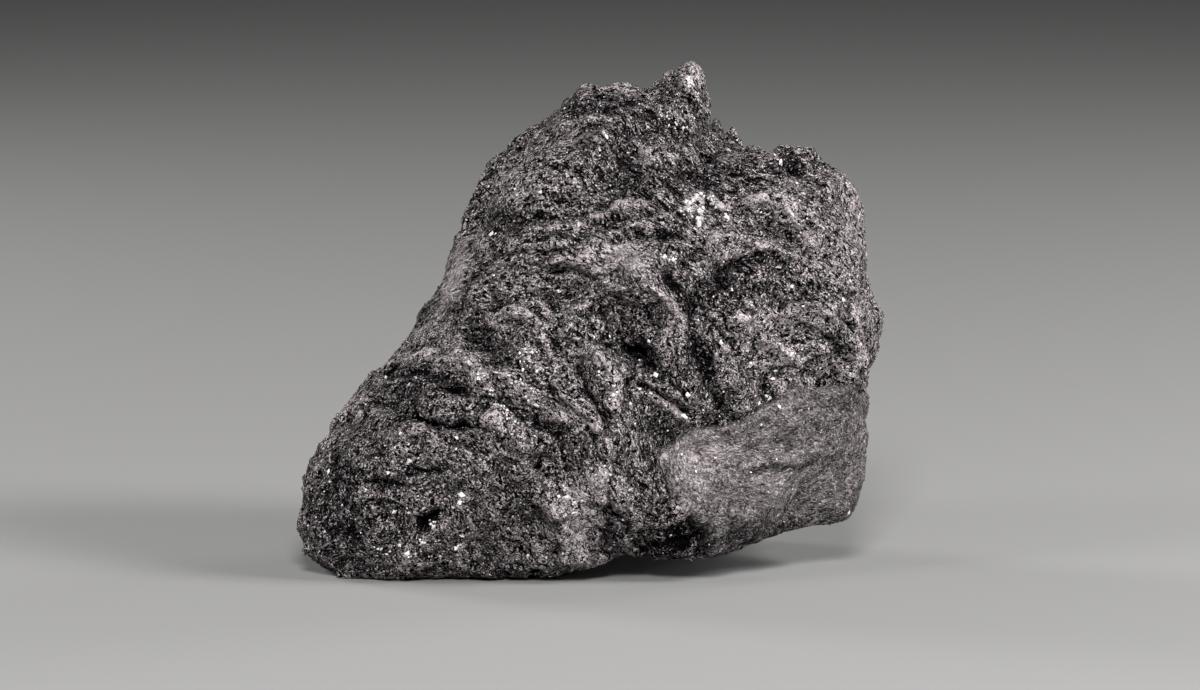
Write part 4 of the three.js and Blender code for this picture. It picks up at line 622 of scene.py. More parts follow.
def roughness(points, size, seed):
    """Value noise from -1 to 1: lattice numbers size apart, joined by quintic blends."""
    x, y, z = points.T / size
    i, j, k = np.floor(x), np.floor(y), np.floor(z)
    s = [f * f * f * (f * (f * 6 - 15) + 10) for f in (x - i, y - j, z - k)]
    total = 0
    for corner in range(8):
        a, b, c = corner & 1, corner >> 1 & 1, corner >> 2
        share = (s[0] if a else 1 - s[0]) * (s[1] if b else 1 - s[1]) * (s[2] if c else 1 - s[2])
        total = total + share * scatter(i + a, j + b, k + c, seed)
    return total * 2 - 1


def layered_roughness(points, layers, shift=0):
    """Sum of value noises, each of its amount, size and seed."""
    return sum(amount * roughness(points, size, seed + shift) for amount, size, seed in layers)


def clods(points, size, seed):
    """Rounded clods: 1 at the nearest of the jittered lattice points, falling to 0 at about size away,
    as 1 - distance squared; and a repeatable number for the clod."""
    q = points / size
    base = np.floor(q)
    nearest = np.full(len(q), 9.0)
    name = np.zeros(len(q))
    for corner in range(27):
        cell = base + (corner % 3 - 1, corner // 3 % 3 - 1, corner // 9 - 1)
        i, j, k = cell.T
        heart = cell + np.stack([scatter(i, j, k, seed + m) for m in range(3)], -1)
        distance = ((q - heart) ** 2).sum(1)
        closer = distance < nearest
        nearest = np.where(closer, distance, nearest)
        name = np.where(closer, scatter(i, j, k, seed + 3), name)
    return np.clip(1 - nearest, 0, 1), name


def outline_at(outline, right, up):
    """Radius of a closed outline about the centre in each direction, with the two corners beside it and
    the share of the turn between them: the crossing of a ray with the side it passes through."""
    p = np.array([q[:2] for q in outline], float) - (CENTRE_U, CENTRE_V)
    angle = np.arctan2(p[:, 1], p[:, 0])
    order = np.argsort(angle)
    order = np.concatenate([order[-1:], order, order[:1]])
    p, angle = p[order], angle[order]
    angle[0] -= 2 * np.pi
    angle[-1] += 2 * np.pi
    turn = np.arctan2(up, right)
    i = np.clip(np.searchsorted(angle, turn) - 1, 0, len(angle) - 2)
    a, b = p[i], p[i + 1]
    ray = np.stack([np.cos(turn), np.sin(turn)], -1)
    side = b - a
    radius = (a[:, 0] * b[:, 1] - a[:, 1] * b[:, 0]) / (ray[:, 0] * side[:, 1] - ray[:, 1] * side[:, 0])
    return radius, order[i], order[i + 1], (turn - angle[i]) / (angle[i + 1] - angle[i])


def plain_form(directions):
    """Radius of the plain stone and how far ahead of its rim each point is. A thick body, cut by its breaks
    and its own outline (a smooth minimum of plane distances), is joined to a thin lens that carries the
    fine outline (a smooth maximum)."""
    right, up, away = directions @ RIGHT, directions @ UP, directions @ AWAY
    reach = np.hypot(right, up) + 1e-9
    rim, i, j, share = outline_at(OUTLINE, right, up)
    table = np.array(OUTLINE, float)
    soft = share * share * (3 - 2 * share)
    depth = table[i, 2] * (1 - soft) + table[j, 2] * soft
    thickness = table[i, 3] * (1 - soft) + table[j, 3] * soft
    slant = away - depth / rim * reach
    lens = (reach / rim) ** RIM_ROUNDNESS + np.abs(slant / thickness) ** RIM_ROUNDNESS
    lens = lens ** (-1 / RIM_ROUNDNESS)
    cuts = (reach / outline_at(BODY_OUTLINE, right, up)[0]) ** BREAK_SHARPNESS
    for _, to_right, to_up, to_front, distance in BREAKS:
        facing = (right * to_right + up * to_up - away * to_front) / math.hypot(to_right, to_up, to_front)
        cuts += (np.maximum(facing, 0) / distance) ** BREAK_SHARPNESS
    body = cuts ** (-1 / BREAK_SHARPNESS)
    radius = np.maximum(body, lens) + np.maximum(RIM_BLEND - np.abs(body - lens), 0) ** 2 / (4 * RIM_BLEND)
    rim_depth = (table[i, 2] * (1 - share) + table[j, 2] * share) / rim
    return radius, -(away - rim_depth * reach) * radius


def plain_points(directions):
    """Points of the plain stone along each direction."""
    return directions * plain_form(directions)[0][:, None]


def chipped(points, hold):
    """Flat chips spread round the stone on a golden spiral. Each planes off what stands above its own plane,
    within its reach; the plane leans a little from the surface there."""
    k = np.arange(CHIP_COUNT) + 0.5
    wobble = [scatter(k, 0 * k, 0 * k, seed) * 2 - 1 for seed in range(7)]
    height = 1 - 2 * k / CHIP_COUNT
    turn = k * GOLDEN_ANGLE + 0.5 * wobble[1]
    level = np.sqrt(1 - height * height)
    middle = unit(np.stack([level * np.cos(turn), level * np.sin(turn), height], -1))
    across = unit(np.cross(middle, [0.3, 0.5, 0.8]))
    along = np.cross(middle, across)
    place = plain_points(middle)
    step = 0.05
    facing = unit(np.cross(
        plain_points(unit(middle + step * across)) - plain_points(unit(middle - step * across)),
        plain_points(unit(middle + step * along)) - plain_points(unit(middle - step * along)),
    ))
    facing *= np.sign((facing * middle).sum(1))[:, None]
    facing = unit(facing + CHIP_LEAN * np.stack(wobble[2:5], -1))
    depth = CHIP_DEPTH + CHIP_DEPTH_RANGE * wobble[5]
    depth = np.where(middle @ AWAY < -0.15, depth * CHIP_SHARE_IN_FRONT, depth)
    reach = CHIP_REACH + CHIP_REACH_RANGE * wobble[6]
    for n in range(CHIP_COUNT):
        offset = points - place[n]
        over = np.maximum(offset @ facing[n] + depth[n], 0)
        near = 1 - ramp(0.75, 1.25, np.linalg.norm(offset, axis=1) / reach[n])
        points = points - facing[n] * (over * near * hold)[:, None]
    return points


def places(table, u, v):
    """Sum of soft oval places: amount times exp(-0.8 times the squared distance in half sizes)."""
    total = np.zeros_like(u)
    for _, middle_u, middle_v, half_width, half_height, turn, amount in table:
        c, s = math.cos(math.radians(turn)), math.sin(math.radians(turn))
        du, dv = u - middle_u, v - middle_v
        p, q = (du * c + dv * s) / half_width, (dv * c - du * s) / half_height
        total += amount * np.exp(-0.8 * (p * p + q * q))
    return total


def runs(table, u, v):
    """Sum of ridges and grooves: height times exp(-(distance to the run / width of that side) to the power
    of twice RUN_SHARPNESS)."""
    total = np.zeros_like(u)
    for _, height, widths, run in table:
        left_width, right_width = np.broadcast_to(widths, 2)
        nearest = np.full_like(u, 1e9)
        side = np.zeros_like(u)
        for (x0, y0), (x1, y1) in zip(run[:-1], run[1:]):
            dx, dy = x1 - x0, y1 - y0
            t = np.clip(((u - x0) * dx + (v - y0) * dy) / (dx * dx + dy * dy), 0, 1)
            ex, ey = u - x0 - t * dx, v - y0 - t * dy
            distance = ex * ex + ey * ey
            closer = distance < nearest
            nearest = np.where(closer, distance, nearest)
            side = np.where(closer, dx * ey - dy * ex, side)
        width = np.where(side > 0, left_width, right_width)
        total += height * np.exp(-((nearest / (width * width)) ** RUN_SHARPNESS))
    return total


def layer_run(u, v):
    """Unit direction of the layers at each place: the mean of the table's directions, each weighted by
    exp(-(distance / reach) squared)."""
    total = 1e-6 * np.ones((len(u), 2))
    for middle_u, middle_v, angle in LAYERS:
        share = np.exp(-((u - middle_u) ** 2 + (v - middle_v) ** 2) / LAYER_REACH ** 2) + 1e-5
        total += share[:, None] * (math.cos(math.radians(angle)), math.sin(math.radians(angle)))
    return unit(total)


def layer_places():
    """Two maps on a coarse grid of the plan: distance across the layers and distance along them. Each is the
    map whose steps between neighbours come nearest, in least squares, to the direction asked for."""
    wide, tall = int(LAYER_WIDE / LAYER_GRID), int(LAYER_TALL / LAYER_GRID)
    i, j = np.meshgrid(np.arange(wide), np.arange(tall), indexing="ij")
    number = i * tall + j
    u, v = i * LAYER_GRID + LAYER_START, j * LAYER_GRID + LAYER_START
    run = layer_run(u.ravel(), v.ravel()).reshape(wide, tall, 2)
    start = np.concatenate([number[:-1].ravel(), number[:, :-1].ravel()])
    stop = np.concatenate([number[1:].ravel(), number[:, 1:].ravel()])
    laplace = np.zeros((number.size, number.size))
    for row, column, share in ((start, start, 1), (stop, stop, 1), (start, stop, -1), (stop, start, -1)):
        np.add.at(laplace, (row, column), share)
    laplace[0, 0] += 1
    maps = []
    for wanted in (np.stack([-run[..., 1], run[..., 0]], -1), run):
        step = np.concatenate([
            (wanted[:-1, :, 0] + wanted[1:, :, 0]).ravel(), (wanted[:, :-1, 1] + wanted[:, 1:, 1]).ravel(),
        ]) * LAYER_GRID / 2
        pull = np.bincount(stop, step, number.size) - np.bincount(start, step, number.size)
        maps.append(np.linalg.solve(laplace, pull).reshape(wide, tall))
    return np.stack(maps, -1)


def spline_shares(t):
    """Quadratic spline weights of the grid points before, at and after a place t steps off the middle one."""
    return (0.5 - t) ** 2 / 2, 0.75 - t * t, (0.5 + t) ** 2 / 2


def layered(maps, u, v, away):
    """Coordinates that follow the layers: across them, along them, and away. The two maps are read with
    quadratic spline weights over the nine nearest grid points."""
    x, y = (u - LAYER_START) / LAYER_GRID, (v - LAYER_START) / LAYER_GRID
    i = np.clip(np.rint(x).astype(int), 1, maps.shape[0] - 2)
    j = np.clip(np.rint(y).astype(int), 1, maps.shape[1] - 2)
    x, y = np.clip(x - i, -0.5, 0.5), np.clip(y - j, -0.5, 0.5)
    total = 0
    for a, share_x in enumerate(spline_shares(x), -1):
        for b, share_y in enumerate(spline_shares(y), -1):
            total = total + (share_x * share_y)[:, None] * maps[i + a, j + b]
    return np.column_stack([total, away])


def stone_form(directions):
    """The stone down to its ledges: plain form, chips, rough layers along the ray, knobs and nubs, then the
    relief of the front towards the front and of the back towards the back, and a flat foot. Also says, for
    each point, its place on the plan, how far ahead of the rim it is and how much the runs raise it."""
    radius, ahead = plain_form(directions)
    # the rim is roughened less, so that the outline holds
    hold = RIM_SHARE + (1 - RIM_SHARE) * ramp(0, RIM_WIDTH, np.abs(ahead))
    points = chipped(directions * radius[:, None], hold)
    rough = layered_roughness(points, ROUGH_LAYERS)
    bend = [layered_roughness(points, BEND_LAYERS, k) for k in range(2)]
    strength = 1 + 0.35 * roughness(points, 2.6, 21)
    run_strength = np.clip(1 + roughness(points, 2.0, 22), 0.15, 1.8)
    points = points + directions * (rough * hold)[:, None]
    for u, v, behind, size, height in KNOBS:
        middle = unit((u - CENTRE_U) * RIGHT + (v - CENTRE_V) * UP + behind * AWAY)
        off = np.arccos(np.clip(directions @ middle, -1, 1)) * radius / size
        points = points + directions * (height * np.exp(-off * off))[:, None]
    on_top = ramp(*NUB_FOOT, points @ UP + CENTRE_V)
    for _, u, behind, size, height in NUBS:
        off = np.hypot(points @ RIGHT + CENTRE_U - u, points @ AWAY - behind) / size
        points = points + UP * (height * on_top * np.exp(-off * off))[:, None]
    closer = 1 + points @ AWAY / SIGHT_DISTANCE
    u = SIGHT_U + (points @ RIGHT + CENTRE_U - SIGHT_U) / closer + bend[0]
    v = SIGHT_V + (points @ UP + CENTRE_V - SIGHT_V) / closer + bend[1]
    front, back = ramp(0, 5, ahead), ramp(0, 5, -ahead)
    front_runs = runs(FRONT_RUNS, u, v) * run_strength
    points = points - AWAY * ((places(FRONT_LUMPS, u, v) * strength + front_runs) * front)[:, None]
    points = points + AWAY * ((places(BACK_LUMPS, u, v) + runs(BACK_RUNS, u, v)) * strength * back)[:, None]
    points = points + CENTRE
    drop = -CENTRE_Z / np.minimum(points[:, 2] - CENTRE_Z, -1e-9)
    points = np.where(points[:, 2:] < 0, (points - CENTRE) * drop[:, None] + CENTRE, points)
    return points, u, v, ahead, front_runs * front


def squares(number):
    """The four corners of each square of a grid of numbers, all wound the same way."""
    corners = [number[:-1, :-1], number[1:, :-1], number[1:, 1:], number[:-1, 1:]]
    return np.stack(corners, -1).reshape(-1, 4)


# the bare edge round each of the core's six charts, as a share of the chart
CHART_MARGIN = 0.02


def cube_directions(steps):
    """Directions through an even grid on the six sides of a cube, edges merged, squares wound outwards, with
    each corner's place on a sheet of six charts. The grid is stretched to the stone's three sizes and
    drawn to the front, so that its squares are about the same size and finest in front."""
    k = np.arange(steps + 1)
    lattice, quads, sheet = [], [], []
    i, j = np.meshgrid(k, k, indexing="ij")
    number = np.arange((steps + 1) ** 2).reshape(steps + 1, steps + 1)
    wound = squares(number)
    for chart in range(6):
        axis, far = chart // 2, chart % 2
        grid = np.empty((steps + 1, steps + 1, 3), int)
        grid[..., axis] = far * steps
        grid[..., (axis + 1) % 3] = i
        grid[..., (axis + 2) % 3] = j
        lattice.append(grid.reshape(-1, 3))
        quads.append((wound if far else wound[:, ::-1]) + chart * number.size)
        inset = CHART_MARGIN + (1 - 2 * CHART_MARGIN) * np.stack([i, j], -1).reshape(-1, 2) / steps
        sheet.append((inset + (chart % 3, chart // 3)) / (3, 2))
    lattice, quads, sheet = (np.concatenate(rows) for rows in (lattice, quads, sheet))
    corner_places = sheet[quads.ravel()]
    key = (lattice[:, 0] * (steps + 1) + lattice[:, 1]) * (steps + 1) + lattice[:, 2]
    _, first, merged = np.unique(key, return_index=True, return_inverse=True)
    lattice, quads = lattice[first], merged.ravel()[quads]
    directions = np.tan((lattice / steps * 2 - 1) * np.pi / 4)
    directions = unit(unit(directions) * GRID_STRETCH) - GRID_PULL * AWAY
    return unit(directions), quads, corner_places


def disc_directions(steps, widest):
    """Directions through a square grid bent to a disc about the front, out to the widest angle from it, its
    squares wound outwards, how far out each direction is and the grid of its numbers."""
    k = np.arange(steps + 1)
    x, y = (t.ravel() for t in np.meshgrid(k / steps * 2 - 1, k / steps * 2 - 1, indexing="ij"))
    x, y = x * np.sqrt(1 - y * y / 2), y * np.sqrt(1 - x * x / 2)
    out = np.hypot(x, y)
    angle = out * widest
    level = np.sin(angle) / np.maximum(out, 1e-9)
    directions = (x * level)[:, None] * RIGHT + (y * level)[:, None] * UP - np.cos(angle)[:, None] * AWAY
    number = np.arange((steps + 1) ** 2).reshape(steps + 1, steps + 1)
    return directions, squares(number), out, number


def gathered(rows, quads, count):
    """For each vertex, the sum of the rows of the squares around it."""
    sums = [np.bincount(quads.ravel(), np.repeat(column, 4), count) for column in rows.T]
    return np.stack(sums, -1)


def normals_of(points, quads):
    """Normal of each vertex: the sum of its squares' crossed diagonals."""
    a, b, c, d = (points[quads[:, n]] for n in range(4))
    return unit(gathered(np.cross(c - a, d - b), quads, len(points)))


def eased(values, quads, rounds):
    """Values evened out over the mesh: each round gives a vertex the mean of the squares around it."""
    count = np.bincount(quads.ravel(), minlength=len(values))[:, None]
    for _ in range(rounds):
        values = gathered(values[quads].mean(1), quads, len(values)) / count
    return values


def smooth_face(u, v, ahead):
    """1 on the smooth lower right face, 0 off it: below its upper edge on the plan, right of its left edge,
    and in front of the rim."""
    below = ramp(-0.3, 0.4, np.interp(u, SMOOTH_EDGE_U, SMOOTH_EDGE_V) - v)
    return below * ramp(-0.4, 0.6, u - np.interp(v, SMOOTH_LEFT_V, SMOOTH_LEFT_U)) * ramp(-2, 1, ahead)


def flank_strip(u, v, ahead):
    """1 on the smooth blade down the left flank: left of its inner edge, between its two ends."""
    inner = np.interp(v, BLADE_EDGE_V, BLADE_EDGE_U)
    return ramp(0.3, -0.2, u - inner) * ramp(25, 27, v) * ramp(34.6, 33.4, v) * ramp(-3, 0, ahead)


# folds: height, size, how many times longer along the layers, seed
FOLDS = [(0.18, 1.3, 3.0, 42), (0.14, 0.7, 2.5, 43), (-0.20, 2.4, 2.5, 41)]
WARP = 0.35
LAYER_THICKNESS = 1.5
LAYER_HEIGHT = 0.26
CLOD_SIZE = 1.6
CLOD_HEIGHT = 0.13
PIT_SIZE = 1.2
PIT_DEPTH = 0.5
FINE_HEIGHT = 0.10


def folds(bent, size, drawn_out, seed):
    """Rounded folds with sharp creases between them, drawn out along the layers: the size of a noise's
    value."""
    return np.abs(roughness(bent * (1, 1 / drawn_out, 0.7), size, seed)) * 2 - 0.8


def fine_relief(points, across, calm):
    """Height of the finest modelled relief: folds of three sizes and saw-toothed layers that come and go, a
    few clods, a fine roughness and scattered pits; calm faces keep a little of it."""
    bent = across + WARP * np.stack([roughness(points, 2.4, 31 + k) for k in range(3)], -1)
    folded = sum(height * folds(bent, size, drawn_out, seed) for height, size, drawn_out, seed in FOLDS)
    lump, lump_name = clods(bent * (1, 0.6, 1), CLOD_SIZE, 51)
    clod = CLOD_HEIGHT * (lump - 0.55) * (0.4 + 1.2 * lump_name)
    phase = across[:, 0] / LAYER_THICKNESS + 0.9 * roughness(bent * (1, 0.4, 0.8), 3.0, 61)
    tooth = phase - np.floor(phase)
    coming = ramp(-0.1, 0.5, roughness(bent * (0.8, 0.35, 0.6), 2.6, 62))
    layer = (tooth ** 1.4 * ramp(1.0, 0.8, tooth) - 0.33) * coming
    fine = FINE_HEIGHT * roughness(bent * (1, 0.5, 1), 0.45, 71)
    pits = PIT_DEPTH * ramp(0.50, 0.85, roughness(bent * (1, 0.5, 1), PIT_SIZE, 81))
    rough = folded + clod + LAYER_HEIGHT * layer + fine - pits
    quiet = 0.12 * roughness(bent, 1.6, 91) + 0.04 * roughness(bent * (1, 0.3, 1), 0.6, 92)
    return rough * (1 - calm) + quiet * calm


# ---------------------------------------------------------------- pieces
def new_piece(name, points, faces, finish, slot, corner_places, smooth, **marks):
    """A closed mesh piece from arrays: points in millimetres in the frame, faces in a list of tables with one
    row a face, one number per point in each mark."""
    mesh = bpy.data.meshes.new(name)
    mesh.vertices.add(len(points))
    mesh.vertices.foreach_set("co", (points * MM).astype(np.float32).ravel())
    corners = np.concatenate([table.ravel() for table in faces]).astype(np.int32)
    sides = np.concatenate([np.full(len(table), table.shape[1]) for table in faces])
    mesh.loops.add(len(corners))
    mesh.loops.foreach_set("vertex_index", corners)
    mesh.polygons.add(len(sides))
    mesh.polygons.foreach_set("loop_start", (np.cumsum(sides) - sides).astype(np.int32))
    mesh.polygons.foreach_set("use_smooth", np.full(len(sides), smooth))
    mesh.update(calc_edges=True)
    layer = mesh.uv_layers.new(name="OFBake")
    layer.uv.foreach_set("vector", corner_places.astype(np.float32).ravel())
    for mark, values in marks.items():
        mesh.attributes.new(mark, "FLOAT", "POINT").data.foreach_set("value", values.astype(np.float32))
    mesh.materials.append(finish)
    piece = bpy.data.objects.new(name, mesh)
    bpy.context.scene.collection.objects.link(piece)
    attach(piece, "root")
    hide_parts("meteorite")


# the core's grid, its stretch to the stone's sizes and how far it is drawn to the front
GRID_STEPS = 92
GRID_STRETCH = np.array([1.12, 0.90, 1.0])
GRID_PULL = -0.12
# the skins' grid, how far round it reaches, the share of that where it dives, and how deep the core
# lies under it
SKIN_STEPS = 438
SKIN_REACH = math.radians(104)
SKIN_EDGE = 0.93
CORE_SINK = 0.7
# how tone follows the relief: rounds of easing, the height that counts in full, share of tone
# painted shade in the creases and painted highlight on the crests
CREASE_AND_CREST_SHADE = [(1, 0.06, 0.06), (3, 0.35, 0.10)]
MIDDLE_TONE = 0.5
# how much lighter a raised run is by the millimetre, and how much tone changes over broad patches
# the runs' ridges get painted highlight and their grooves painted shade
RUN_HIGHLIGHT_AND_SHADE = 0.06
PATCHINESS = 0.05
PATCH_SIZE = 6

layer_maps = layer_places()


def dressed(directions, quads, sunk, rounds):
    """The stone down to its finest relief, lowered by sunk along its normals, and the marks its finish reads.
    Its crests are painted lighter and its creases darker, painted highlight and painted shade: how far a
    point stands above its eased surroundings. The front's places and runs add painted light and shade to its
    own tone."""
    points, u, v, ahead, raised = stone_form(directions)
    calm = np.maximum(smooth_face(u, v, ahead), 0.8 * flank_strip(u, v, ahead))
    calm = np.maximum(calm, np.clip(places(SMOOTH_PLACES, u, v), 0, 1) * ramp(-1, 2, ahead))
    calm = np.maximum(calm, np.clip(places(BACK_SMOOTH_PLACES, u, v), 0, 1) * ramp(-1, -3, ahead))
    layers = layered(layer_maps, u, v, points @ AWAY)
    relief = fine_relief(points, layers, calm)
    foot = ramp(0.0, 0.6, points[:, 2])
    normal = normals_of(points, quads)
    points = points + normal * (relief * foot - sunk)[:, None]
    points[:, 2] = np.maximum(points[:, 2], 0)
    normal = normals_of(points, quads)
    # the front's places and runs: painted light and shade, with the stone's own pale and dark marks
    tone = MIDDLE_TONE + (places(PAINTED_LIGHT_AND_STAINS, u, v) + runs(TONE_RUNS, u, v)) * ramp(-1, 1.5, ahead)
    # the raised runs add painted highlight on their ridges and painted shade in their grooves
    tone = tone + RUN_HIGHLIGHT_AND_SHADE * raised + PATCHINESS * roughness(points, PATCH_SIZE, 101)
    around = points
    # painted shade in creases and painted highlight on crests
    for more, reach, share in CREASE_AND_CREST_SHADE:
        around = eased(around, quads, rounds * more)
        standing = ((points - around) * normal).sum(1)
        tone = tone + share * (1 - 0.6 * calm) * np.tanh(standing / reach)
    run = layer_run(u, v)
    run = run[:, :1] * RIGHT + run[:, 1:] * UP
    marks = {"tone": tone, "calm": calm, "across": layers[:, 0], "along": layers[:, 1], "away": layers[:, 2]}
    return points, marks, run, np.stack([u, v, ahead], -1)


# the whole stone, sunk a little in front, where two finer skins cover it
core_way, core_quads, core_sheet = cube_directions(GRID_STEPS)
core_angle = np.arccos(np.clip(-core_way @ AWAY, -1, 1)) / SKIN_REACH
core_sunk = CORE_SINK * ramp(SKIN_EDGE, SKIN_EDGE - 0.05, core_angle)
core, core_marks, core_run, core_seen = dressed(core_way, core_quads, core_sunk, 1)
skin_way, skin_quads, skin_out, skin_number = disc_directions(SKIN_STEPS, SKIN_REACH)
skin_sunk = CORE_SINK * ramp(SKIN_EDGE, 1.0, skin_out)
skin, skin_marks, skin_run, skin_seen = dressed(skin_way, skin_quads, skin_sunk, 8)

low, high = (np.array(corner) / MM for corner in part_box("meteorite"))
lowest, highest = np.minimum(core.min(0), skin.min(0)), np.maximum(core.max(0), skin.max(0))
SHIFT = (low + high) / 2 - (lowest + highest) / 2
SHIFT[2] = low[2] - lowest[2]
core, skin = core + SHIFT, skin + SHIFT

# the surface that shows, for the grains: the skins, and the core where they don't cover it
shown_points = np.concatenate([skin, core])
shown_quads = np.concatenate([skin_quads, core_quads + len(skin)])
shown_normal = np.concatenate([normals_of(skin, skin_quads), normals_of(core, core_quads)])
shown_run = np.concatenate([skin_run, core_run])
shown_seen = np.concatenate([skin_seen, core_seen])
shown_tone, shown_calm = (np.concatenate([skin_marks[key], core_marks[key]]) for key in ("tone", "calm"))
shown = np.concatenate([skin_out < SKIN_EDGE + 0.01, core_angle > SKIN_EDGE])


# ---------------------------------------------------------------- grains
# a three-sided grain and an eight-faced one: corners (across, along, out) and faces
POINTED = (
    np.array([(1.0, 0.0, -0.35), (-0.5, 0.87, -0.35), (-0.5, -0.87, -0.35), (0.0, 0.0, 1.1)]),
    np.array([(0, 1, 3), (1, 2, 3), (2, 0, 3), (0, 2, 1)]),
)
BLOCKY = (
    np.array([(1, 0, 0.1), (0, 1, 0.1), (-1, 0, 0.1), (0, -1, 0.1), (0, 0, 0.95), (0, 0, -0.6)], float),
    np.array([(0, 1, 4), (1, 2, 4), (2, 3, 4), (3, 0, 4), (1, 0, 5), (2, 1, 5), (3, 2, 5), (0, 3, 5)]),
)
GRAIN_LEAN = 0.35
CORNER_STRETCH = (0.72, 1.28)
GRAIN_STRETCH = (0.7, 1.3)
# grains of one tone share a cell of the sheet, in a square of this many cells a side
TONE_CELLS = 16


def spread(weight, count):
    """Random places on the stone, as many to the square millimetre as weight says: a square picked by its
    area times weight, then a place in it. Gives the place, its normal, the run of its layers and its tone."""
    a, b, c, d = (shown_points[shown_quads[:, n]] for n in range(4))
    chance = np.linalg.norm(np.cross(c - a, d - b), axis=1) * (weight * shown)[shown_quads].mean(1)
    corner = shown_quads[draw.choice(len(shown_quads), count, p=chance / chance.sum())]
    s, t = draw.random((2, count))
    share = np.stack([(1 - s) * (1 - t), s * (1 - t), s * t, (1 - s) * t], -1)[..., None]
    fields = (shown_points, shown_normal, shown_run, shown_tone[:, None])
    place, normal, along, tone = ((field[corner] * share).sum(1) for field in fields)
    return (place, unit(normal), along), tone[:, 0]


def placed(spots):
    """The nearest corner of the front to each (u, v): its place, normal and run of the layers."""
    near = [np.argmin(((skin_seen[:, :2] - spot) ** 2).sum(1) - skin_seen[:, 2]) for spot in spots]
    return shown_points[near], shown_normal[near], shown_run[near]


def strewn(run, count, jitter):
    """Places strewn along a run of the plan: even steps, each off by a random bit."""
    corner = np.array(run, float)
    reach = np.concatenate([[0], np.cumsum(np.linalg.norm(np.diff(corner, axis=0), axis=1))])
    step = np.linspace(0, reach[-1], count)
    middle = np.stack([np.interp(step, reach, corner[:, k]) for k in range(2)], -1)
    return middle + jitter * draw.normal(size=(count, 2))


def uneven(middle, unevenness, least, most, count):
    """Sizes about the middle one: it times exp(unevenness times a normal number), held in their limits."""
    return np.clip(middle * np.exp(unevenness * draw.normal(size=count)), least, most)


def grains(name, kind, spots, size, grain_tone, look, drawn_out=1.0, sink=0.0):
    """Joined half-sunk grains. Each is the shape drawn out along the layers, leaned, stretched and its
    corners jittered, at its own size; its corners on the sheet lie in the cell of its tone."""
    shape, faces = kind
    place, normal, along = spots
    count, corners = len(place), len(shape)
    lean = unit(normal + GRAIN_LEAN * draw.normal(size=(count, 3)))
    along = along + (1.6 / drawn_out - 0.3) * draw.normal(size=(count, 3))
    across = unit(np.cross(lean, along))
    along = np.cross(across, lean)
    form = shape * draw.uniform(*CORNER_STRETCH, (count, corners, 3))
    form = form * draw.uniform(*GRAIN_STRETCH, (count, 1, 3))
    form = form * size[:, None, None] / 2 * (drawn_out ** -0.5, drawn_out, 1)
    points = (place - normal * (sink * size)[:, None])[:, None]
    for axis, way in enumerate((across, along, lean)):
        points = points + form[..., axis:axis + 1] * way[:, None]
    points = points.reshape(-1, 3)
    points[:, 2] = np.maximum(points[:, 2], 0)
    joined = (faces + corners * np.arange(count)[:, None, None]).reshape(-1, 3)
    step = np.clip(grain_tone * TONE_CELLS ** 2, 0, TONE_CELLS ** 2 - 1).astype(int)
    cell = np.stack([step % TONE_CELLS, step // TONE_CELLS], -1)[:, None] + 0.5
    triangle = np.array([(-0.3, -0.3), (0.3, -0.3), (0.0, 0.3)])
    sheet = np.broadcast_to((cell[:, None] + triangle) / TONE_CELLS, (count, len(faces), 3, 2)).reshape(-1, 2)
    even_tone = np.repeat((step + 0.5) / TONE_CELLS ** 2, corners)
    new_piece(name, points, [joined], *look, sheet, False, tone=even_tone)


# ---------------------------------------------------------------- finishes
class Wire:
    """A socket's value in a material. Sums, differences, products and quotients add Math nodes."""

    def __init__(self, finish, socket):
        self.finish = finish
        self.socket = socket

    def maths(self, operation, first, second, **settings):
        return self.finish.node("ShaderNodeMath", {"operation": operation, **settings}, {0: first, 1: second})

    def __add__(self, other):
        return self.maths("ADD", self, other)

    def __sub__(self, other):
        return self.maths("SUBTRACT", self, other)

    def __mul__(self, other):
        return self.maths("MULTIPLY", self, other)

    def __rsub__(self, other):
        return self.maths("SUBTRACT", other, self)

    __radd__ = __add__
    __rmul__ = __mul__

    def held(self):
        """The value held between 0 and 1."""
        return self.maths("ADD", self, 0.0, use_clamp=True)


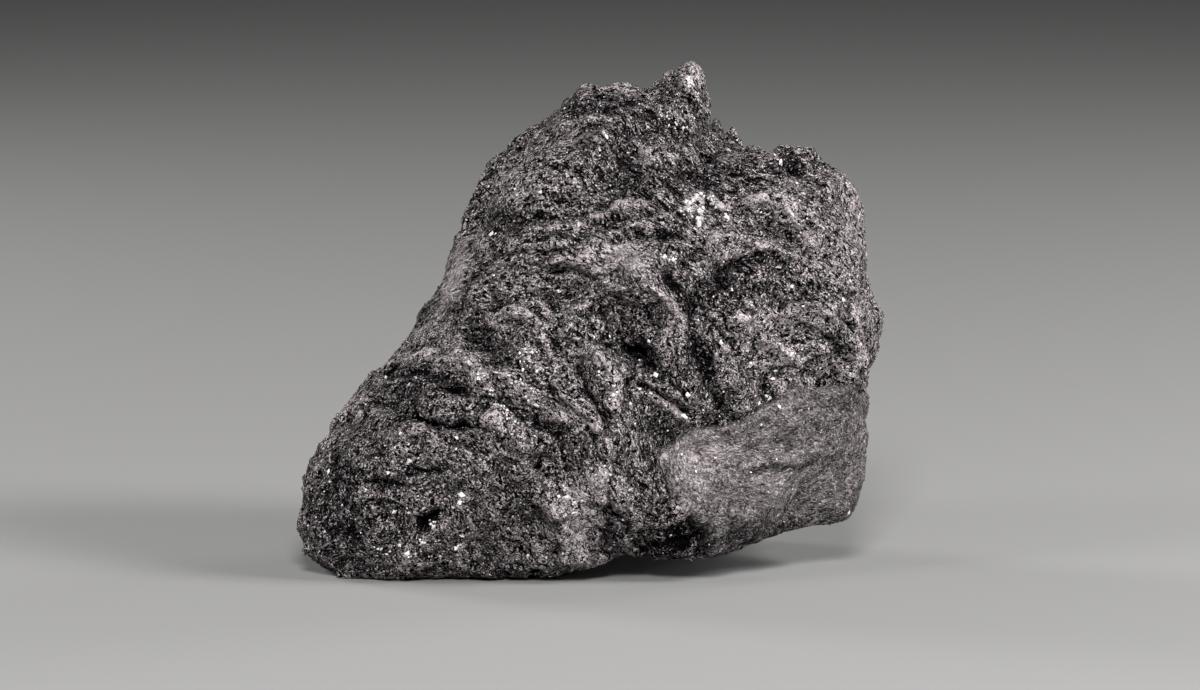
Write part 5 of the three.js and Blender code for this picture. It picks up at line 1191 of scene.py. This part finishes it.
class Finish:
    """A procedural material, built from nodes by kind, settings and socket values."""

    def __init__(self, name):
        self.material = bpy.data.materials.new(name)
        self.material.use_nodes = True
        self.tree = self.material.node_tree
        self.tree.nodes.clear()

    def node(self, kind, settings=None, sockets=None, out=0):
        made = self.tree.nodes.new(kind)
        for key, value in (settings or {}).items():
            if key == "stops":
                while len(made.color_ramp.elements) < len(value):
                    made.color_ramp.elements.new(0.5)
                for element, (position, colour) in zip(made.color_ramp.elements, value):
                    element.position = position
                    element.color = (*colour, 1)
            else:
                setattr(made, key, value)
        for key, value in (sockets or {}).items():
            if isinstance(value, Wire):
                self.tree.links.new(value.socket, made.inputs[key])
            else:
                made.inputs[key].default_value = value
        return Wire(self, made.outputs[out]) if made.outputs else None

    def mark(self, name):
        """One of the piece's own per-point numbers."""
        return self.node("ShaderNodeAttribute", {"attribute_name": name}, out="Fac")

    def millimetres(self):
        """Object coordinates in millimetres."""
        place = self.node("ShaderNodeTexCoord", out="Object")
        return self.node("ShaderNodeVectorMath", {"operation": "SCALE"}, {0: place, "Scale": 1 / MM})

    def noise(self, place, size, detail=2.0, harshness=0.55):
        """Noise about 0, of the given size in millimetres."""
        sockets = {"Vector": place, "Scale": 1 / size, "Detail": detail, "Roughness": harshness}
        return self.node("ShaderNodeTexNoise", {}, sockets, "Fac") - 0.5

    def cells(self, place, size):
        """A random value about 0 in each of the cells of the given size in millimetres."""
        colour = self.node("ShaderNodeTexVoronoi", {}, {"Vector": place, "Scale": 1 / size}, "Color")
        return self.node("ShaderNodeSeparateColor", {}, {"Color": colour}, "Red") - 0.5

    def switched(self, value, turning, results):
        """The first result below the turning band of the value, the second above it, a blend in between."""
        sockets = {"Value": value, "From Min": turning[0], "From Max": turning[1],
                   "To Min": results[0], "To Max": results[1]}
        return self.node("ShaderNodeMapRange", {}, sockets)

    def ramp(self, stops, value):
        """The colour of a ramp at the value."""
        return self.node("ShaderNodeValToRGB", {"stops": stops}, {"Fac": value}, "Color")

    def surface(self, **sockets):
        """The Principled shader, joined to the material's output."""
        sockets = {key.replace("_", " "): value for key, value in sockets.items()}
        shader = self.node("ShaderNodeBsdfPrincipled", {}, sockets)
        self.node("ShaderNodeOutputMaterial", {}, {"Surface": shader})
        return self.material


def greys(levels, red_cast):
    """Ramp stops from (position, brightness) pairs, a little redder than grey: a painted red cast of bounced
    light.
    """
    tint = np.array([1 + red_cast, 1, 1 + 0.1 * red_cast])
    return [(position, tuple(level * tint)) for position, level in levels]


# both ramps carry a painted red cast that stands in for light bounced from red surroundings
STONE_GREYS = greys([(0.0, 0.001), (0.3, 0.007), (0.48, 0.045), (0.72, 0.17), (1.0, 0.50)], 0.13)
INCLUSION_GREYS = greys([(0.0, 0.10), (0.4, 0.27), (0.75, 0.54), (1.0, 0.86)], 0.05)


def matrix_finish():
    """Charcoal matrix. Its tone is the piece's own mark, with its painted light and shade, plus, where it is
    rough, fine noise drawn out along the layers, angular chips, black gaps between them painted as shade and
    sparse bright specks, and where it is calm, long streaks across the smooth face. The same parts make a
    fine bump. Light places are less rough."""
    f = Finish("charcoal_matrix")
    place = f.millimetres()
    calm_here = f.mark("calm")
    across, along, away = f.mark("across"), f.mark("along"), f.mark("away")
    drawn_out, little_drawn_out = (
        f.node("ShaderNodeCombineXYZ", {}, {0: across, 1: along * share, 2: away}) for share in (0.25, 0.55)
    )
    streaky = f.node("ShaderNodeMapping", {"vector_type": "TEXTURE"},
                     {"Vector": place, "Rotation": (0, math.radians(-28), 0), "Scale": (5.0, 1.0, 1.0)})
    streaks = f.noise(streaky, 0.8, 3) * 0.7 + f.noise(streaky, 0.3, 2) * 0.7
    fine = f.noise(drawn_out, 0.15, 1, 0.7)
    chips = f.cells(little_drawn_out, 0.20)
    speckle = f.cells(place, 0.12) * 0.8 + chips * 0.5
    # painted shade: the gaps between the chips are painted black as well as sunk in the bump
    gaps = f.switched(chips + fine * 0.3, (-0.32, -0.24), (-0.50, 0.07))
    specks = f.switched(f.cells(place, 0.15), (0.41, 0.44), (0.0, 0.32))
    patch = f.noise(drawn_out, 0.9, 3)
    rough_tone = fine + speckle + gaps + specks + patch * 0.25 - 0.08
    calm_tone = fine * 0.6 + speckle * 0.35 + streaks * 0.7
    value = (f.mark("tone") + rough_tone * (1 - calm_here) + calm_tone * calm_here).held()
    height = fine * 0.9 + speckle * 0.6 + gaps * (1 - calm_here) + patch * 0.6
    bump = f.node("ShaderNodeBump", {}, {"Strength": 1.0, "Distance": 0.4 * MM, "Height": height}, "Normal")
    colour = f.ramp(STONE_GREYS, value)
    return f.surface(Base_Color=colour, Roughness=0.92 - value * 0.22, Normal=bump, Specular_IOR_Level=0.02)


def grain_finish(name, stops, dull, shine, gloss):
    """A grain's colour and roughness follow its tone."""
    f = Finish(name)
    value = f.mark("tone")
    colour = f.ramp(stops, value)
    return f.surface(Base_Color=colour, Roughness=dull - value * shine, Specular_IOR_Level=gloss)


# each piece's finish, and the name of its slot
STONE_LOOK = (matrix_finish(), "stone")
GRAIN_LOOK = (grain_finish("matrix_grain", STONE_GREYS, 0.9, 0.35, 0.05), "stone")
INCLUSION_LOOK = (grain_finish("pale_inclusion", INCLUSION_GREYS, 0.75, 0.45, 0.5), "pale_inclusions")

# where a skin lies on the sheet: its edges, and the band above it for the fan that closes it
SHEET_LEFT = 0.01
SHEET_RIGHT = 0.99
SHEET_TOP = 0.94
FAN_FOOT = 0.955
FAN_TOP = 0.995


def front_skin(name, columns):
    """One of the finer skins over the front: some columns of the disc grid, closed behind by a fan to the
    heart of the stone."""
    used = skin_number[columns]
    faces = squares(used)
    first = used[0, 0]
    rim = np.concatenate([used[:-1, 0], used[-1, :-1], used[:0:-1, -1], used[0, :0:-1]])
    heart = used.size
    fan = np.stack([np.roll(rim, -1), rim, np.full(len(rim), heart + first)], -1)
    points = np.concatenate([skin[used.ravel()], [CENTRE + SHIFT]])
    marks = {key: np.append(values[used.ravel()], values[0]) for key, values in skin_marks.items()}
    wide, tall = used.shape
    over, upwards = np.linspace(SHEET_LEFT, SHEET_RIGHT, wide), np.linspace(SHEET_LEFT, SHEET_TOP, tall)
    sheet = np.stack(np.meshgrid(over, upwards, indexing="ij"), -1).reshape(-1, 2)[faces.ravel() - first]
    k = np.arange(len(rim))[:, None] + (1, 0, 0.5)
    height = np.broadcast_to((FAN_FOOT, FAN_FOOT, FAN_TOP), k.shape)
    fan_sheet = np.stack([k / len(rim), height], -1).reshape(-1, 2)
    sheet = np.concatenate([sheet, fan_sheet])
    new_piece(name, points, [faces - first, fan - first], *STONE_LOOK, sheet, True, **marks)


new_piece("stone", core, [core_quads], *STONE_LOOK, core_sheet, True, **core_marks)
front_skin("front_skin_left", slice(0, SKIN_STEPS // 2 + 1))
front_skin("front_skin_right", slice(SKIN_STEPS // 2, SKIN_STEPS + 1))

draw = np.random.default_rng(7)
# grains take the stone's tone where they sit, with its painted light and shade
# grains are fewer where the stone is calm, and behind
roughs = 1 - 0.72 * shown_calm
in_front = 0.35 + 0.65 * ramp(-2, 4, shown_seen[:, 2])

FINE_COUNT = 49000
spots, ground = spread(roughs * in_front, FINE_COUNT)
size = uneven(0.14, 0.32, 0.09, 0.4, FINE_COUNT)
tone = ground + 0.02 + 0.18 * draw.normal(size=FINE_COUNT)
grains("fine_grains", POINTED, spots, size, tone, GRAIN_LOOK, 1.7)

DUST_COUNT = 38000
spots, ground = spread(roughs * in_front, DUST_COUNT)
size = draw.uniform(0.10, 0.17, DUST_COUNT)
tone = ground + 0.25 * draw.random(DUST_COUNT) ** 2
grains("dust_grains", POINTED, spots, size, tone, GRAIN_LOOK, 1.2)

COARSE_COUNT = 12000
spots, ground = spread(roughs ** 2 * in_front, COARSE_COUNT)
size = uneven(0.24, 0.35, 0.15, 0.8, COARSE_COUNT)
tone = ground + 0.10 * draw.normal(size=COARSE_COUNT)
grains("coarse_grains", BLOCKY, spots, size, tone, GRAIN_LOOK, 1.5, 0.12)

# pale grains, up to three times as many about the middle of the lobe
PALE_COUNT = 4000
LOBE_MIDDLE = (10, 8)
LOBE_SIZE = (9, 8)
off_lobe = (shown_seen[:, :2] - LOBE_MIDDLE) / LOBE_SIZE
lobe_share = 1 + 2.0 * np.exp(-(off_lobe ** 2).sum(1))
spots, _ = spread(roughs * in_front * lobe_share, PALE_COUNT)
size = uneven(0.14, 0.40, 0.09, 0.6, PALE_COUNT)
tone = draw.random(PALE_COUNT) ** 1.3
grains("pale_grains", BLOCKY, spots, size, tone, INCLUSION_LOOK, 1.1, 0.05)

middles, sizes = [], []
for _, count, jitter, grain_size, run in INCLUSION_RUNS:
    middles.append(strewn(run, count, jitter))
    sizes.append(grain_size * np.exp(0.25 * draw.normal(size=count)))
singles = np.array(INCLUSIONS, float)
middles = np.concatenate([*middles, singles[:, :2]])
sizes = np.concatenate([*sizes, singles[:, 2]])
tone = draw.uniform(0.75, 1.0, len(sizes))
grains("placed_inclusions", BLOCKY, placed(middles), 1.1 * sizes, tone, INCLUSION_LOOK, 1.1, -0.05)


# ---------------------------------------------------------------- floor, lights, camera
FLOOR_HALF = 1.2
FLOOR_COLOUR = (0.27, 0.267, 0.264, 1)
FLOOR_ROUGHNESS = 0.7
floor_mesh = bpy.data.meshes.new("floor")
floor_corners = [(x * FLOOR_HALF, y * FLOOR_HALF, 0) for x, y in ((-1, -1), (1, -1), (1, 1), (-1, 1))]
floor_mesh.from_pydata(floor_corners, [], [(0, 1, 2, 3)])
floor_finish = Finish("pale_floor")
floor_mesh.materials.append(floor_finish.surface(Base_Color=FLOOR_COLOUR, Roughness=FLOOR_ROUGHNESS))
floor = bpy.data.objects.new("floor", floor_mesh)
bpy.context.scene.collection.objects.link(floor)

# the camera looks at a place a little left of the stone's centre and below it
AIM = (CENTRE + SHIFT + RIGHT * -1.7 + UP * -0.8) * MM
AIM[1] = (CENTRE[1] + SHIFT[1]) * MM
VIEW_RAISE = math.radians(8)
VIEW_DISTANCE = 0.6
VIEW_LENS = 180
forward = np.array([0, math.cos(VIEW_RAISE), -math.sin(VIEW_RAISE)])
upward = np.cross(RIGHT, forward)
camera_data = bpy.data.cameras.new("camera")
camera_data.lens = VIEW_LENS
camera_data.sensor_width = 36
camera = bpy.data.objects.new("camera", camera_data)
turn = np.eye(4)
turn[:3] = np.stack([RIGHT, upward, -forward, AIM - forward * VIEW_DISTANCE], -1)
camera.matrix_world = Matrix(turn.tolist())
bpy.context.scene.collection.objects.link(camera)
bpy.context.scene.camera = camera

LIGHT_SIDE = 0.14
ROOM_LIGHT = 0.04
# soft square lights: name, place in metres, watts
LIGHTS = [
    ("above the front", (0.0, -0.50, 0.35), 3.9),
    ("right", (0.42, -0.16, 0.30), 2.7),
    ("low right", (0.50, -0.10, 0.10), 0.6),
    ("left", (-0.38, -0.18, 0.32), 0.7),
    ("behind the left", (-0.40, 0.25, 0.20), 1.3),
    ("behind the right", (0.40, 0.25, 0.20), 0.8),
]
for name, where, watts in LIGHTS:
    light_data = bpy.data.lights.new(name, "AREA")
    light_data.size = LIGHT_SIDE
    light_data.energy = watts
    light = bpy.data.objects.new(name, light_data)
    light.location = where
    light.rotation_euler = (Vector(AIM.tolist()) - Vector(where)).to_track_quat("-Z", "Y").to_euler()
    bpy.context.scene.collection.objects.link(light)
world = bpy.data.worlds.new("studio")
world.use_nodes = True
world.node_tree.nodes["Background"].inputs["Color"].default_value = (1, 1, 1, 1)
world.node_tree.nodes["Background"].inputs["Strength"].default_value = ROOM_LIGHT
bpy.context.scene.world = world
bpy.context.scene.view_settings.view_transform = "Standard"
